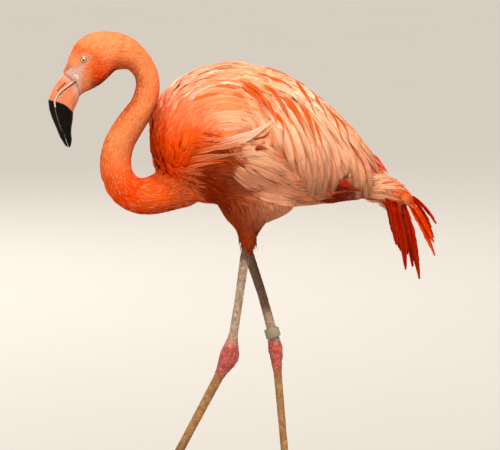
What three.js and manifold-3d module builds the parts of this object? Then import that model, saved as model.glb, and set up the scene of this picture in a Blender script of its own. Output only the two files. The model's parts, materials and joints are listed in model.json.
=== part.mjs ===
// A life-size standing model of a Chilean flamingo, caught in mid stride with its neck in an S.
// Millimetres, +Z up. The bird faces -X, so its left side is towards -Y.
// Every outline is given in the bird's plane of symmetry: x along the body, z above the floor.
import * as THREE from 'three';
import { mergeVertices } from 'three/addons/utils/BufferGeometryUtils.js';
import Module from 'manifold-3d';

const wasm = await Module();
wasm.setup();

// ---------------------------------------------------------------- driving sizes
const GAP = 0.3; // clearance that parts the pieces from each other
const AROUND = 18; // facets round a body section
const NECK_AROUND = 14;
const LIMB_AROUND = 12; // facets round a leg
const TOE_AROUND = 6;

const NECK_FLATTEN = 0.88; // the neck's width as a share of its depth
const WING_REACH = 130; // further out sideways than any part of a wing
const EYE = { x: -242, z: 680, radius: 7.6, depth: 12.4 }; // depth: eyeball centre from the mid plane
const LOOK_DOWN = 6; // degrees; the outlines below are drawn as seen from this far above level
const UPRIGHT = 1 / Math.cos(THREE.MathUtils.degToRad(LOOK_DOWN)); // restores their true heights
const SOLE_TOP = 1.3; // thickness of the webs on the floor
const SOLE_FLAT = 0.5; // how far the toes' round undersides are flattened by the floor

// ---------------------------------------------------------------- surfaces from sections
/** Catmull-Rom between rows of named numbers, with `steps` new rows to each interval. */
function fillIn(rows, steps) {
  const filled = [];
  const keys = Object.keys(rows[0]);
  for (let i = 0; i < rows.length - 1; i += 1) {
    const [b, c] = [rows[i], rows[i + 1]];
    const [a, d] = [rows[Math.max(i - 1, 0)], rows[Math.min(i + 2, rows.length - 1)]];
    for (let s = 0; s < steps; s += 1) {
      const t = s / steps;
      const row = {};
      for (const key of keys) {
        const slopeIn = (c[key] - a[key]) / 2;
        const slopeOut = (d[key] - b[key]) / 2;
        const rise = c[key] - b[key];
        const square = 3 * rise - 2 * slopeIn - slopeOut;
        const cube = slopeIn + slopeOut - 2 * rise;
        row[key] = b[key] + t * (slopeIn + t * (square + t * cube));
      }
      filled.push(row);
    }
  }
  filled.push({ ...rows[rows.length - 1] });
  return filled;
}

/** A closed ring from its lowest to its highest point in the mid plane; low > 0 is wider near the lowest. */
function sectionRing(bottom, top, halfWidth, low = 0, offsetY = 0, count = AROUND) {
  const ring = [];
  for (let i = 0; i < count; i += 1) {
    const angle = (2 * Math.PI * i) / count;
    const along = (1 - Math.cos(angle)) / 2;
    const side = halfWidth * Math.sin(angle) * (1 + low * Math.cos(angle));
    ring.push(new THREE.Vector3(
      bottom.x + (top.x - bottom.x) * along,
      offsetY + side,
      bottom.z + (top.z - bottom.z) * along,
    ));
  }
  return ring;
}

/** A closed solid through rings of equal count, with flat ends. */
function loft(rings) {
  const count = rings[0].length;
  const points = rings.flat();
  const faces = [];
  for (let r = 0; r < rings.length - 1; r += 1) {
    for (let i = 0; i < count; i += 1) {
      const [a, b] = [r * count + i, r * count + ((i + 1) % count)];
      faces.push(a, b, b + count, a, b + count, a + count);
    }
  }
  for (const [end, flip] of [[0, true], [rings.length - 1, false]]) {
    const ring = rings[end];
    const start = end * count;
    const hub = points.length;
    points.push(ring.reduce((sum, p) => sum.add(p), new THREE.Vector3()).divideScalar(count));
    for (let i = 0; i < count; i += 1) {
      const [a, b] = [start + i, start + ((i + 1) % count)];
      faces.push(...(flip ? [hub, b, a] : [hub, a, b]));
    }
  }
  return facedOut(indexed(points, faces));
}

function indexed(points, faces) {
  const geometry = new THREE.BufferGeometry();
  const flat = points.flatMap((p) => [p.x, p.y, p.z]);
  geometry.setAttribute('position', new THREE.Float32BufferAttribute(flat, 3));
  geometry.setIndex(faces);
  return geometry;
}

function signedVolume(geometry) {
  const position = geometry.getAttribute('position');
  const index = geometry.getIndex();
  const [a, b, c] = [new THREE.Vector3(), new THREE.Vector3(), new THREE.Vector3()];
  let volume = 0;
  for (let i = 0; i < index.count; i += 3) {
    a.fromBufferAttribute(position, index.getX(i));
    b.fromBufferAttribute(position, index.getX(i + 1));
    c.fromBufferAttribute(position, index.getX(i + 2));
    volume += a.dot(b.cross(c)) / 6;
  }
  return volume;
}

/** The same closed mesh with its faces turned outwards. */
function facedOut(geometry) {
  if (signedVolume(geometry) < 0) {
    const index = geometry.getIndex();
    for (let i = 0; i < index.count; i += 3) {
      const [b, c] = [index.getX(i + 1), index.getX(i + 2)];
      index.setX(i + 1, c);
      index.setX(i + 2, b);
    }
  }
  return geometry;
}

/** A tube with elliptical sections along rows of x, y, z, deep (in the plane of the bend) and wide. */
function limb(rows, count = LIMB_AROUND) {
  const rings = rows.map((row, i) => {
    const [before, after] = [rows[Math.max(i - 1, 0)], rows[Math.min(i + 1, rows.length - 1)]];
    const forward = new THREE.Vector3(after.x - before.x, after.y - before.y, after.z - before.z).normalize();
    const side = new THREE.Vector3(0, 1, 0).addScaledVector(forward, -forward.y).normalize();
    const deep = new THREE.Vector3().crossVectors(side, forward);
    return Array.from({ length: count }, (_, k) => {
      const angle = (2 * Math.PI * k) / count;
      return new THREE.Vector3(row.x, row.y, row.z)
        .addScaledVector(deep, row.deep * Math.cos(angle))
        .addScaledVector(side, row.wide * Math.sin(angle));
    });
  });
  return loft(rings);
}

/** The room that a limb's neighbours leave round it: the same tube, larger and longer by the gap. */
function limbRoom(rows, count = LIMB_AROUND) {
  const larger = rows.map((row) => ({ ...row, deep: row.deep + GAP, wide: row.wide + GAP }));
  for (const [end, next] of [[0, 1], [rows.length - 1, rows.length - 2]]) {
    const tip = new THREE.Vector3(rows[end].x, rows[end].y, rows[end].z);
    const inner = new THREE.Vector3(rows[next].x, rows[next].y, rows[next].z);
    tip.add(new THREE.Vector3().subVectors(tip, inner).setLength(GAP));
    larger[end] = { ...larger[end], x: tip.x, y: tip.y, z: tip.z };
  }
  return solidOf(limb(larger, count));
}

/** The stretch of a limb between two distances along it, for cutting it into lengths with a gap. */
function stretch(rows, from, to) {
  const reach = [0];
  for (let i = 1; i < rows.length; i += 1) {
    const [a, b] = [rows[i - 1], rows[i]];
    reach.push(reach[i - 1] + Math.hypot(b.x - a.x, b.y - a.y, b.z - a.z));
  }
  const total = reach[reach.length - 1];
  const rowAt = (distance) => {
    const d = Math.min(Math.max(distance, 0), total);
    const i = Math.max(1, reach.findIndex((r) => r >= d));
    const t = (d - reach[i - 1]) / (reach[i] - reach[i - 1]);
    const mix = (key) => rows[i - 1][key] * (1 - t) + rows[i][key] * t;
    return Object.fromEntries(Object.keys(rows[0]).map((key) => [key, mix(key)]));
  };
  const inside = rows.filter((_, i) => reach[i] > from * total + 1 && reach[i] < to * total - 1);
  return [rowAt(from * total), ...inside, rowAt(to * total)];
}

// ---------------------------------------------------------------- cuts and joins
function solidOf(geometry) {
  const merged = mergeVertices(stripped(geometry.clone()), 1e-4);
  return new wasm.Manifold(new wasm.Mesh({
    numProp: 3,
    vertProperties: new Float32Array(merged.getAttribute('position').array),
    triVerts: new Uint32Array(merged.getIndex().array),
  }));
}

function geometryOf(solid) {
  const mesh = solid.getMesh();
  const geometry = new THREE.BufferGeometry();
  geometry.setAttribute('position', new THREE.BufferAttribute(new Float32Array(mesh.vertProperties), 3));
  geometry.setIndex(new THREE.BufferAttribute(new Uint32Array(mesh.triVerts), 1));
  return geometry;
}

/** Only the largest body of a cut, so that no sliver is left beside it. */
function mainBody(solid) {
  return solid.decompose().sort((a, b) => b.volume() - a.volume())[0];
}

function blockBetween(low, high) {
  const size = new THREE.Vector3().subVectors(high, low);
  const box = new THREE.BoxGeometry(size.x, size.y, size.z);
  box.translate((low.x + high.x) / 2, (low.y + high.y) / 2, (low.z + high.z) / 2);
  return solidOf(box);
}

/** The solid behind an outline in the mid plane, reaching out to one side (-1 left, 1 right). */
function sidePrism(outline, side, from = GAP / 2) {
  const geometry = new THREE.ExtrudeGeometry(new THREE.Shape(outline), {
    depth: WING_REACH,
    bevelEnabled: false,
  });
  geometry.rotateX(Math.PI / 2);
  geometry.translate(0, side < 0 ? -from : WING_REACH + from, 0);
  return solidOf(geometry);
}

/** An outline's points pushed outwards by a distance, for the room that its neighbour leaves. */
function grownOutline(outline, distance) {
  const turn = THREE.ShapeUtils.isClockWise(outline) ? 1 : -1;
  return outline.map((point, i) => {
    const before = outline[(i + outline.length - 1) % outline.length];
    const after = outline[(i + 1) % outline.length];
    const along = new THREE.Vector2().subVectors(after, before).normalize();
    return new THREE.Vector2(point.x - turn * along.y * distance, point.y + turn * along.x * distance);
  });
}

function smoothOutline(points, tension, perSpan) {
  const corners = points.map(([x, z]) => new THREE.Vector3(x, z, 0));
  const curve = new THREE.CatmullRomCurve3(corners, true, 'catmullrom', tension);
  return curve.getPoints(points.length * perSpan).slice(0, -1).map((p) => new THREE.Vector2(p.x, p.y));
}

// ---------------------------------------------------------------- trunk, wings and tail
// The whole coated body, wings folded: top and bottom of the outline, half width, and how low it is widest.
const BODY = [
  { x: -143, top: 566, bottom: 552, half: 3, low: 0 },
  { x: -140, top: 592, bottom: 521, half: 24, low: 0 },
  { x: -131, top: 615, bottom: 500, half: 41, low: 0 },
  { x: -118, top: 634, bottom: 487, half: 54, low: 0 },
  { x: -97, top: 654, bottom: 475, half: 66, low: 0 },
  { x: -67, top: 666.5, bottom: 462.5, half: 76, low: 0 },
  { x: -37, top: 673, bottom: 458.5, half: 82, low: 0.02 },
  { x: 0, top: 677, bottom: 455.5, half: 85, low: 0.04 },
  { x: 37, top: 669.5, bottom: 452.5, half: 83, low: 0.08 },
  { x: 82, top: 646.5, bottom: 455.5, half: 75, low: 0.12 },
  { x: 127, top: 612, bottom: 460.5, half: 61, low: 0.14 },
  { x: 165, top: 574, bottom: 465.5, half: 47, low: 0.12 },
  { x: 195, top: 534, bottom: 465.5, half: 35, low: 0.08 },
  { x: 222, top: 501, bottom: 464.5, half: 24, low: 0 },
];
// The body under the folded wings; it runs on into the tail's coverts.
const CORE = [
  { x: -141.5, top: 562, bottom: 556, half: 2, low: 0 },
  { x: -138, top: 587, bottom: 524, half: 20, low: 0 },
  { x: -129, top: 610, bottom: 502, half: 34, low: 0 },
  { x: -116, top: 628, bottom: 488, half: 45, low: 0 },
  { x: -97, top: 645, bottom: 476, half: 56, low: 0 },
  { x: -67, top: 660, bottom: 463.5, half: 66, low: 0 },
  { x: -37, top: 666, bottom: 459.5, half: 71, low: 0.02 },
  { x: 0, top: 668, bottom: 456.5, half: 73, low: 0.04 },
  { x: 37, top: 656, bottom: 453.5, half: 71, low: 0.1 },
  { x: 82, top: 622, bottom: 456.5, half: 62, low: 0.14 },
  { x: 127, top: 570, bottom: 461.5, half: 48, low: 0.14 },
  { x: 165, top: 522, bottom: 466, half: 36, low: 0.1 },
  { x: 195, top: 506, bottom: 466, half: 30, low: 0 },
  { x: 225, top: 500, bottom: 461.5, half: 26, low: 0 },
  { x: 246, top: 482, bottom: 458.5, half: 20, low: 0 },
  { x: 252, top: 474, bottom: 462.5, half: 10, low: 0 },
];
const TAIL_STARTS = 176; // the coverts are parted from the trunk here

function bodySolid(rows, grow = 0) {
  return solidOf(loft(rows.map((row) => sectionRing(
    { x: row.x, z: row.bottom - grow },
    { x: row.x, z: row.top + grow },
    row.half + grow,
    row.low,
  ))));
}

// A folded wing's coverts, and the long plumes of its inner feathers that hang over the flank.
const WING_OUTLINE = smoothOutline([
  [-128, 590], [-112, 618], [-80, 640], [-35, 658], [10, 668], [36, 655], [50, 620], [57, 585],
  [50, 552], [25, 543], [-30, 545], [-80, 555],
], 0.5, 2);
const PLUME_OUTLINE = smoothOutline([
  [12, 690], [90, 680], [170, 610], [228, 500], [205, 505], [183, 473], [168, 492], [143, 484],
  [122, 483], [100, 482], [80, 500], [66, 530], [58.5, 552], [60, 590], [51, 627], [37, 659],
], 0.35, 1);
const trunkEnvelope = bodySolid(BODY);
const core = bodySolid(CORE);
const coreRoom = bodySolid(CORE, GAP);

function foldedWing(outline, side) {
  return mainBody(trunkEnvelope.intersect(sidePrism(outline, side)).subtract(coreRoom));
}

// ---------------------------------------------------------------- neck
// From the breast round the S to the nape: centre, and half depth.
const NECK = fillIn([
  { x: -82, z: 494, deep: 34 },
  { x: -112, z: 484, deep: 33 },
  { x: -144, z: 474, deep: 29.5 },
  { x: -168, z: 477, deep: 27.5 },
  { x: -187, z: 494, deep: 26 },
  { x: -194, z: 520, deep: 24.5 },
  { x: -191, z: 544, deep: 23.6 },
  { x: -182, z: 565, deep: 23 },
  { x: -167, z: 588, deep: 21.8 },
  { x: -153, z: 609, deep: 20 },
  { x: -146, z: 631, deep: 19 },
  { x: -146, z: 650, deep: 18.3 },
  { x: -152, z: 665, deep: 18.6 },
  { x: -163, z: 679, deep: 20.8 },
  { x: -177, z: 686.4, deep: 25.8 },
  { x: -188, z: 689.2, deep: 29.2 },
], 2).map((row) => ({ ...row, y: 0, wide: row.deep * NECK_FLATTEN }));
const NECK_PARTS = { neck_lower: [0, 0.36], neck_middle: [0.36, 0.69], neck_upper: [0.69, 1] };

// ---------------------------------------------------------------- head and bill
/** The head's first section: the neck's last one, moved on by the gap. */
function napeSection() {
  const [before, end] = NECK.slice(-2);
  const forward = new THREE.Vector2(end.x - before.x, end.z - before.z).normalize();
  const centre = new THREE.Vector2(end.x, end.z).addScaledVector(forward, GAP * 1.05);
  const up = new THREE.Vector2(-forward.y, forward.x).multiplyScalar(-end.deep);
  const [crown, throat] = [centre.clone().add(up), centre.clone().sub(up)];
  return { cx: crown.x, cz: crown.y, tx: throat.x, tz: throat.y, half: end.wide, low: 0 };
}

// Sections across the head from nape to bill: crown (cx, cz), throat (tx, tz) and half width.
// A low below 0 is wider towards the crown.
const HEAD = [
  napeSection(),
  { cx: -194, cz: 720, tx: -198, tz: 657, half: 24.6, low: -0.02 },
  { cx: -206, cz: 721, tx: -206, tz: 649, half: 23.4, low: -0.08 },
  { cx: -219, cz: 721, tx: -213, tz: 642.5, half: 21.8, low: -0.16 },
  { cx: -233, cz: 717.5, tx: -222, tz: 636.5, half: 20, low: -0.22 },
  { cx: -247, cz: 709.5, tx: -231, tz: 632, half: 18, low: -0.24 },
  { cx: -256, cz: 699, tx: -239, tz: 629, half: 16.4, low: -0.2 },
  { cx: -261.8, cz: 686.5, tx: -244.5, tz: 625.5, half: 14.6, low: -0.12 },
  { cx: -267, cz: 671, tx: -247.5, tz: 621.5, half: 13, low: 0 },
  { cx: -271.5, cz: 659, tx: -249.5, tz: 618.5, half: 12.4, low: 0.04 },
];

// Stations down the bill: mouth line (mx, mz), culmen (ux, uz), keel (kx, kz) and the two half widths.
const BILL = [
  { mx: -249, mz: 648.5, ux: -264, uz: 664, kx: -246, kz: 630, upper: 10.8, lower: 10 },
  { mx: -261, mz: 639.5, ux: -276.5, uz: 650.5, kx: -249, kz: 617.5, upper: 11.2, lower: 12.6 },
  { mx: -271, mz: 632, ux: -285, uz: 638.5, kx: -252.5, kz: 609.5, upper: 11.2, lower: 13 },
  { mx: -278, mz: 624.5, ux: -290.5, uz: 627, kx: -255.5, kz: 603.5, upper: 11, lower: 13.2 },
  { mx: -282, mz: 616, ux: -294.5, uz: 616, kx: -257, kz: 598.5, upper: 10.8, lower: 13.2 },
  { mx: -281.5, mz: 603, ux: -293, uz: 603, kx: -257.5, kz: 588.5, upper: 10.4, lower: 12.8 },
  { mx: -278, mz: 589.5, ux: -288.5, uz: 589.5, kx: -259.5, kz: 577, upper: 9.6, lower: 11.6 },
  { mx: -273.5, mz: 576, ux: -282.5, uz: 575.5, kx: -260, kz: 567, upper: 8.6, lower: 9.8 },
  { mx: -269.5, mz: 562.5, ux: -276.8, uz: 561.5, kx: -259, kz: 558, upper: 7.2, lower: 7.8 },
  { mx: -266, mz: 552, ux: -269.6, uz: 550, kx: -260.5, kz: 549.5, upper: 5, lower: 5.2 },
  { mx: -264.6, mz: 547.6, ux: -265.4, uz: 546.8, kx: -262.6, kz: 546.4, upper: 2, lower: 2 },
];
const MOUTH_GAP = 0.5;
// The face ends on this line, from the culmen's root by the gape to under the chin.
const FACE_EDGE = [
  [-274, 661], [-268, 657], [-252, 647], [-247.5, 626], [-247, 600], [-330, 600], [-330, 661],
].map(([x, z]) => new THREE.Vector2(x, z));

/** One mandible: flat against the mouth line, round outside; edge 'u' is the culmen, 'k' the keel. */
function mandible(edge, width, fullness, grow = 0) {
  const half = 8;
  const rings = BILL.map((row) => {
    const mouth = new THREE.Vector3(row.mx, 0, row.mz);
    const rim = new THREE.Vector3(row[`${edge}x`], 0, row[`${edge}z`]);
    const away = new THREE.Vector3().subVectors(rim, mouth);
    const height = away.length();
    away.normalize();
    const ring = [];
    for (let i = 0; i <= half; i += 1) {
      const angle = (Math.PI * i) / half;
      const rise = MOUTH_GAP / 2 - grow + (height + 2 * grow - MOUTH_GAP / 2) * Math.sin(angle) ** fullness;
      ring.push(mouth.clone().addScaledVector(away, rise).setY((row[width] + grow) * Math.cos(angle)));
    }
    return ring;
  });
  return solidOf(loft(rings));
}

/** A slot through one side of the upper bill for the nostril. */
function nostrilCutter(side) {
  const slot = new THREE.CapsuleGeometry(0.9, 11, 2, 6);
  slot.scale(1, 1, 2.6);
  slot.rotateX(Math.PI / 2); // lengthways along z, deep along y
  slot.rotateY(THREE.MathUtils.degToRad(43));
  slot.translate(-273.5, side * 11.5, 640);
  return solidOf(slot);
}

function eyeball(side, grow = 0) {
  const ball = new THREE.SphereGeometry(EYE.radius + grow, 11, 7);
  ball.translate(EYE.x, side * EYE.depth, EYE.z);
  return solidOf(ball);
}

// ---------------------------------------------------------------- legs
// The left leg strides ahead; the right one stands under the body. y is the bird's left (-) or right (+).
const LEGS = {
  left: {
    side: -1,
    thigh: [
      { front: -30, back: 84, z: 500, wide: 32 },
      { front: -30, back: 84, z: 468, wide: 31 },
      { front: -22, back: 74, z: 456, wide: 29 },
      { front: -13, back: 56, z: 445, wide: 25 },
      { front: -10, back: 33, z: 436, wide: 19 },
      { front: -7.5, back: 22.5, z: 422, wide: 13.5 },
      { front: -6.2, back: 15.5, z: 411, wide: 10 },
      { front: -5.4, back: 10, z: 403, wide: 7.8 },
    ],
    hip: { x: 2.3, y: -34.5, z: 403 },
    ankle: { x: -23.5, y: -30, z: 236 },
    toeJoint: { x: -134.5, y: -22, z: 26 },
    bow: 1.2,
    shankDeep: 6.8,
    tarsusDeep: 7,
    flare: 1.46,
    swelling: 14.4,
    jointStarts: 0.875,
    heading: 2,
  },
  right: {
    side: 1,
    thigh: [
      { front: -46, back: 56, z: 500, wide: 31 },
      { front: -48, back: 58, z: 466, wide: 30 },
      { front: -43, back: 50, z: 453, wide: 26 },
      { front: -36, back: 38, z: 443, wide: 22 },
      { front: -28, back: 24, z: 432, wide: 16.5 },
      { front: -15, back: 12, z: 419, wide: 11.5 },
      { front: -9.8, back: 6.2, z: 407, wide: 8 },
    ],
    hip: { x: -1.8, y: 33.5, z: 407 },
    ankle: { x: 46.2, y: 28, z: 239 },
    toeJoint: { x: 66.8, y: -1, z: 9 },
    bow: 4,
    shankDeep: 7.4,
    tarsusDeep: 6,
    flare: 1.28,
    swelling: 10.8,
    jointStarts: 0.905,
    heading: -3,
  },
};

/** The feathered thigh: level ellipses round the leg's top, narrowing to the bare shank. */
function thighSolid(leg) {
  return solidOf(loft(leg.thigh.map(({ front, back, z, wide }) => (
    sectionRing({ x: front, z }, { x: back, z }, wide, 0, leg.hip.y, 14)
  ))));
}

// Where the legs' lengths part, as shares of the way from hip to ankle or from ankle to toes.
const SHANK_STARTS = 0.003;
const TARSUS_STARTS = 0.107;
const SEAM = 0.002;

/** How far back a shank bows from the straight line, most of it low down. */
function bowAt(leg, t) {
  return leg.bow * Math.sin(Math.PI * t ** 1.5);
}

/** Half depths down one leg, from the thigh to the toes, as rows along its bent centre line. */
function legRows(leg) {
  const { hip, ankle, toeJoint, shankDeep, tarsusDeep, flare, swelling, jointStarts } = leg;
  const rows = (from, to, sizes) => sizes.map(([t, deep]) => ({
    x: from.x + (to.x - from.x) * t + (from === hip ? bowAt(leg, t) : 0),
    y: from.y + (to.y - from.y) * t,
    z: from.z + (to.z - from.z) * t,
    deep,
    wide: deep * (deep > shankDeep * 1.4 ? 0.78 : 0.86),
  }));
  const flares = jointStarts - 0.09;
  return {
    shank: rows(hip, ankle, [
      [SHANK_STARTS, shankDeep * 1.1],
      [0.12, shankDeep * 1.04],
      [0.5, shankDeep * 0.93],
      [flares, shankDeep],
      [flares + 0.05, shankDeep * (1 + flare) / 2.05],
      [jointStarts, shankDeep * flare],
    ]),
    ankle: [
      ...rows(hip, ankle, [
        [jointStarts + SEAM, shankDeep * flare * 1.02],
        [0.93, swelling * 0.9],
        [0.975, swelling],
      ]),
      ...rows(ankle, toeJoint, [
        [0.006, swelling],
        [0.04, swelling * 0.92],
        [0.07, swelling * 0.76],
        [TARSUS_STARTS - SEAM, tarsusDeep * 1.3],
      ]),
    ],
    tarsus: rows(ankle, toeJoint, [
      [TARSUS_STARTS, tarsusDeep * 1.28],
      [0.15, tarsusDeep * 1.05],
      [0.5, tarsusDeep * 0.94],
      [0.86, tarsusDeep * 0.98],
      [0.99, tarsusDeep * 1.1],
    ]),
  };
}

// Toes: angle out from straight ahead (degrees), length, thickness at the root.
const FRONT_TOES = [
  { angle: -31, length: 60, root: 4.1 },
  { angle: 0, length: 72, root: 4.4 },
  { angle: 31, length: 66, root: 4.1 },
];
const CLAW_LENGTH = 9;
const TOE_PAD = 6.6; // radius of the pad where the toes meet
const WEB_REACH = 66; // the toes' mean length, for the slope of the webs between them
const KNUCKLES = [0.02, 0.36, 0.68]; // where each toe's joints swell

/** How much of the way down to the floor a toe has come at a distance from its root. */
function dropAt(reach) {
  return THREE.MathUtils.smoothstep(reach, -4, 30);
}

/** A toe's centre line: down from the toe joint to the floor, then flat along it. */
function toePoint(leg, toe, share) {
  const heading = THREE.MathUtils.degToRad(180 + leg.heading + toe.angle);
  const reach = share * toe.length;
  const drop = dropAt(reach);
  const radius = toe.root * (1 - 0.42 * share);
  const lying = radius - SOLE_FLAT;
  return {
    x: leg.toeJoint.x + Math.cos(heading) * reach,
    y: leg.toeJoint.y + Math.sin(heading) * reach,
    z: THREE.MathUtils.lerp(leg.toeJoint.z, lying, drop),
    radius,
  };
}

function toeRows(leg, toe) {
  const steps = 6;
  return Array.from({ length: steps + 1 }, (_, i) => {
    const share = i / steps;
    const point = toePoint(leg, toe, share);
    const knuckle = KNUCKLES.reduce((sum, k) => sum + Math.exp(-(((share - k) / 0.08) ** 2)), 0);
    const size = point.radius * (1 + 0.16 * knuckle);
    return { x: point.x, y: point.y, z: point.z, deep: size, wide: size * 1.1 };
  });
}

/** The web between two toes: a thin sheet that follows them down to the floor, with a hollowed front edge. */
function webSolid(leg, first, second) {
  const rows = 3;
  const columns = 2;
  const hollow = 0.2;
  const top = [];
  for (let i = 0; i <= rows; i += 1) {
    for (let j = 0; j <= columns; j += 1) {
      const across = j / columns;
      const furthest = 0.9 - hollow * Math.sin(Math.PI * across);
      const share = 0.08 + (furthest - 0.08) * (i / rows);
      const [a, b] = [toePoint(leg, first, share), toePoint(leg, second, share)];
      const middle = new THREE.Vector3(a.x, a.y, 0).lerp(new THREE.Vector3(b.x, b.y, 0), across);
      top.push(middle.setZ(leg.toeJoint.z * (1 - dropAt(share * WEB_REACH)) + SOLE_TOP));
    }
  }
  const bottom = top.map((p) => p.clone().setZ(p.z - SOLE_TOP));
  const points = [...top, ...bottom];
  const stride = columns + 1;
  const under = top.length; // a bottom point's number is its top point's plus this
  const faces = [];
  const quad = (a, b, c, d) => faces.push(a, b, c, a, c, d);
  for (let i = 0; i < rows; i += 1) {
    for (let j = 0; j < columns; j += 1) {
      const k = i * stride + j;
      quad(k, k + 1, k + stride + 1, k + stride);
      quad(under + k, under + k + stride, under + k + stride + 1, under + k + 1);
    }
    const [near, far] = [i * stride, (i + 1) * stride];
    quad(near, far, under + far, under + near);
    quad(near + columns, under + near + columns, under + far + columns, far + columns);
  }
  for (let j = 0; j < columns; j += 1) {
    quad(j, under + j, under + j + 1, j + 1);
    const k = rows * stride + j;
    quad(k, k + 1, under + k + 1, under + k);
  }
  return solidOf(facedOut(indexed(points, faces)));
}

const UNDER_FLOOR = blockBetween(new THREE.Vector3(-400, -200, -60), new THREE.Vector3(400, 200, 0));

/** A claw past a toe's tip: a small curved cone whose point comes down to the floor. */
function clawSolid(leg, toe) {
  const heading = THREE.MathUtils.degToRad(180 + leg.heading + toe.angle);
  const tip = toePoint(leg, toe, 1);
  const rows = [0, 0.5, 1].map((t) => ({
    x: tip.x + Math.cos(heading) * (GAP + t * CLAW_LENGTH),
    y: tip.y + Math.sin(heading) * (GAP + t * CLAW_LENGTH),
    z: tip.z - t * t * (tip.z - 1.1),
    deep: tip.radius * (0.92 - 0.7 * t),
    wide: tip.radius * (1 - 0.72 * t),
  }));
  return solidOf(limb(rows, 6)).subtract(UNDER_FLOOR);
}

/** The small hind toe, set a little above the floor on the back of the leg. */
function hindToe(leg) {
  const back = THREE.MathUtils.degToRad(leg.heading + 18 * leg.side);
  const rows = [0, 0.45, 0.85, 1].map((t) => ({
    x: leg.toeJoint.x + Math.cos(back) * (4 + 15 * t),
    y: leg.toeJoint.y + Math.sin(back) * (4 + 15 * t),
    z: leg.toeJoint.z + 7 - 11.5 * t,
    deep: 2.9 - 1.9 * t * t,
    wide: 3 - 2 * t * t,
  }));
  return solidOf(limb(rows, TOE_AROUND));
}

// ---------------------------------------------------------------- tail feathers
// Root and tip as x and z, how far out sideways each starts and ends, half width, turn about its length.
const TAIL_FEATHERS = [
  { root: [249, 464], tip: [283, 410], y: 6, endY: 12, half: 5, turn: 42 },
  { root: [244, 463], tip: [284, 386], y: -5, endY: -9, half: 5.5, turn: -42 },
  { root: [236, 463], tip: [262, 352], y: -11, endY: -18, half: 7.5, turn: -35 },
  { root: [231, 463], tip: [252, 366], y: 12, endY: 20, half: 7.5, turn: 35 },
  { root: [224, 465], tip: [241, 367], y: -17, endY: -27, half: 7.5, turn: -28 },
  { root: [219, 466], tip: [231, 394], y: 18, endY: 28, half: 7.5, turn: 28 },
  { root: [211, 467], tip: [226, 404], y: -21, endY: -30, half: 7, turn: -20 },
];
// Across the vane as shares of its width, and half thickness: 0.32 at the edges and 0.9 at the shaft.
const VANE_SECTION = [[1, 0.32], [0, 0.9], [-1, 0.32], [-1, -0.32], [0, -0.9], [1, -0.32]];

/** A lance-shaped vane with a raised shaft along both faces. */
function tailFeather({ root, tip, y, endY, half, turn }) {
  const from = new THREE.Vector3(root[0], y, root[1]);
  const to = new THREE.Vector3(tip[0], endY, tip[1]);
  const length = new THREE.Vector3().subVectors(to, from).normalize();
  const across = new THREE.Vector3(0, 1, 0).cross(length).normalize();
  across.applyAxisAngle(length, THREE.MathUtils.degToRad(turn));
  const out = new THREE.Vector3().crossVectors(length, across);
  const steps = 5;
  const rings = Array.from({ length: steps + 1 }, (_, i) => {
    const t = i / steps;
    const width = Math.max(0.6, half * (0.5 + 1.05 * t) * (1 - t ** 2.4));
    const centre = new THREE.Vector3().lerpVectors(from, to, t);
    centre.x += 3 * Math.sin(Math.PI * t);
    return VANE_SECTION.map(([w, h]) => (
      centre.clone().addScaledVector(across, w * width).addScaledVector(out, h)
    ));
  });
  return solidOf(loft(rings));
}

// ---------------------------------------------------------------- leg band
const BAND = { along: 0.845, height: 13.5, inner: 9.9, outer: 11.4 };

function legBand(leg) {
  const { hip, ankle } = leg;
  const centre = new THREE.Vector3().lerpVectors(
    new THREE.Vector3(hip.x, hip.y, hip.z),
    new THREE.Vector3(ankle.x, ankle.y, ankle.z),
    BAND.along,
  );
  centre.x += bowAt(leg, BAND.along);
  const profile = [
    [BAND.inner, -0.5], [BAND.outer, -0.5], [BAND.outer, 0.5], [BAND.inner, 0.5], [BAND.inner, -0.5],
  ].map(([r, h]) => new THREE.Vector2(r, h * BAND.height));
  const ring = new THREE.LatheGeometry(profile, 18);
  const up = new THREE.Vector3(hip.x - ankle.x, hip.y - ankle.y, hip.z - ankle.z).normalize();
  ring.rotateX(Math.PI / 2);
  ring.applyQuaternion(new THREE.Quaternion().setFromUnitVectors(new THREE.Vector3(0, 0, 1), up));
  ring.translate(centre.x, centre.y, centre.z);
  return solidOf(facedOut(mergeVertices(stripped(ring), 1e-4)));
}

/** The same mesh with nothing but its points. */
function stripped(geometry) {
  geometry.deleteAttribute('normal');
  geometry.deleteAttribute('uv');
  return geometry;
}

// ---------------------------------------------------------------- finishes
const finish = (color, roughness) => new THREE.MeshStandardMaterial({ color, roughness, metalness: 0 });
const COAT = finish(0xf2743c, 0.8);
const PALE_COAT = finish(0xf3b295, 0.8);
const RED_COAT = finish(0xd8371a, 0.75);
const BILL_HORN = finish(0xf0a184, 0.4);
const EYE_YELLOW = finish(0xe6b052, 0.15);
const LEG_SKIN = finish(0xb9a58c, 0.6);
const JOINT_SKIN = finish(0xd0565a, 0.6);
const CLAW_HORN = finish(0x3a332e, 0.4);
const BAND_GREY = finish(0x8b8a78, 0.5);

// ---------------------------------------------------------------- assembly
const bird = new THREE.Group();

function add(name, solid, material) {
  const mesh = new THREE.Mesh(geometryOf(solid).scale(1, 1, UPRIGHT), material);
  mesh.name = name;
  bird.add(mesh);
}

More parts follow.
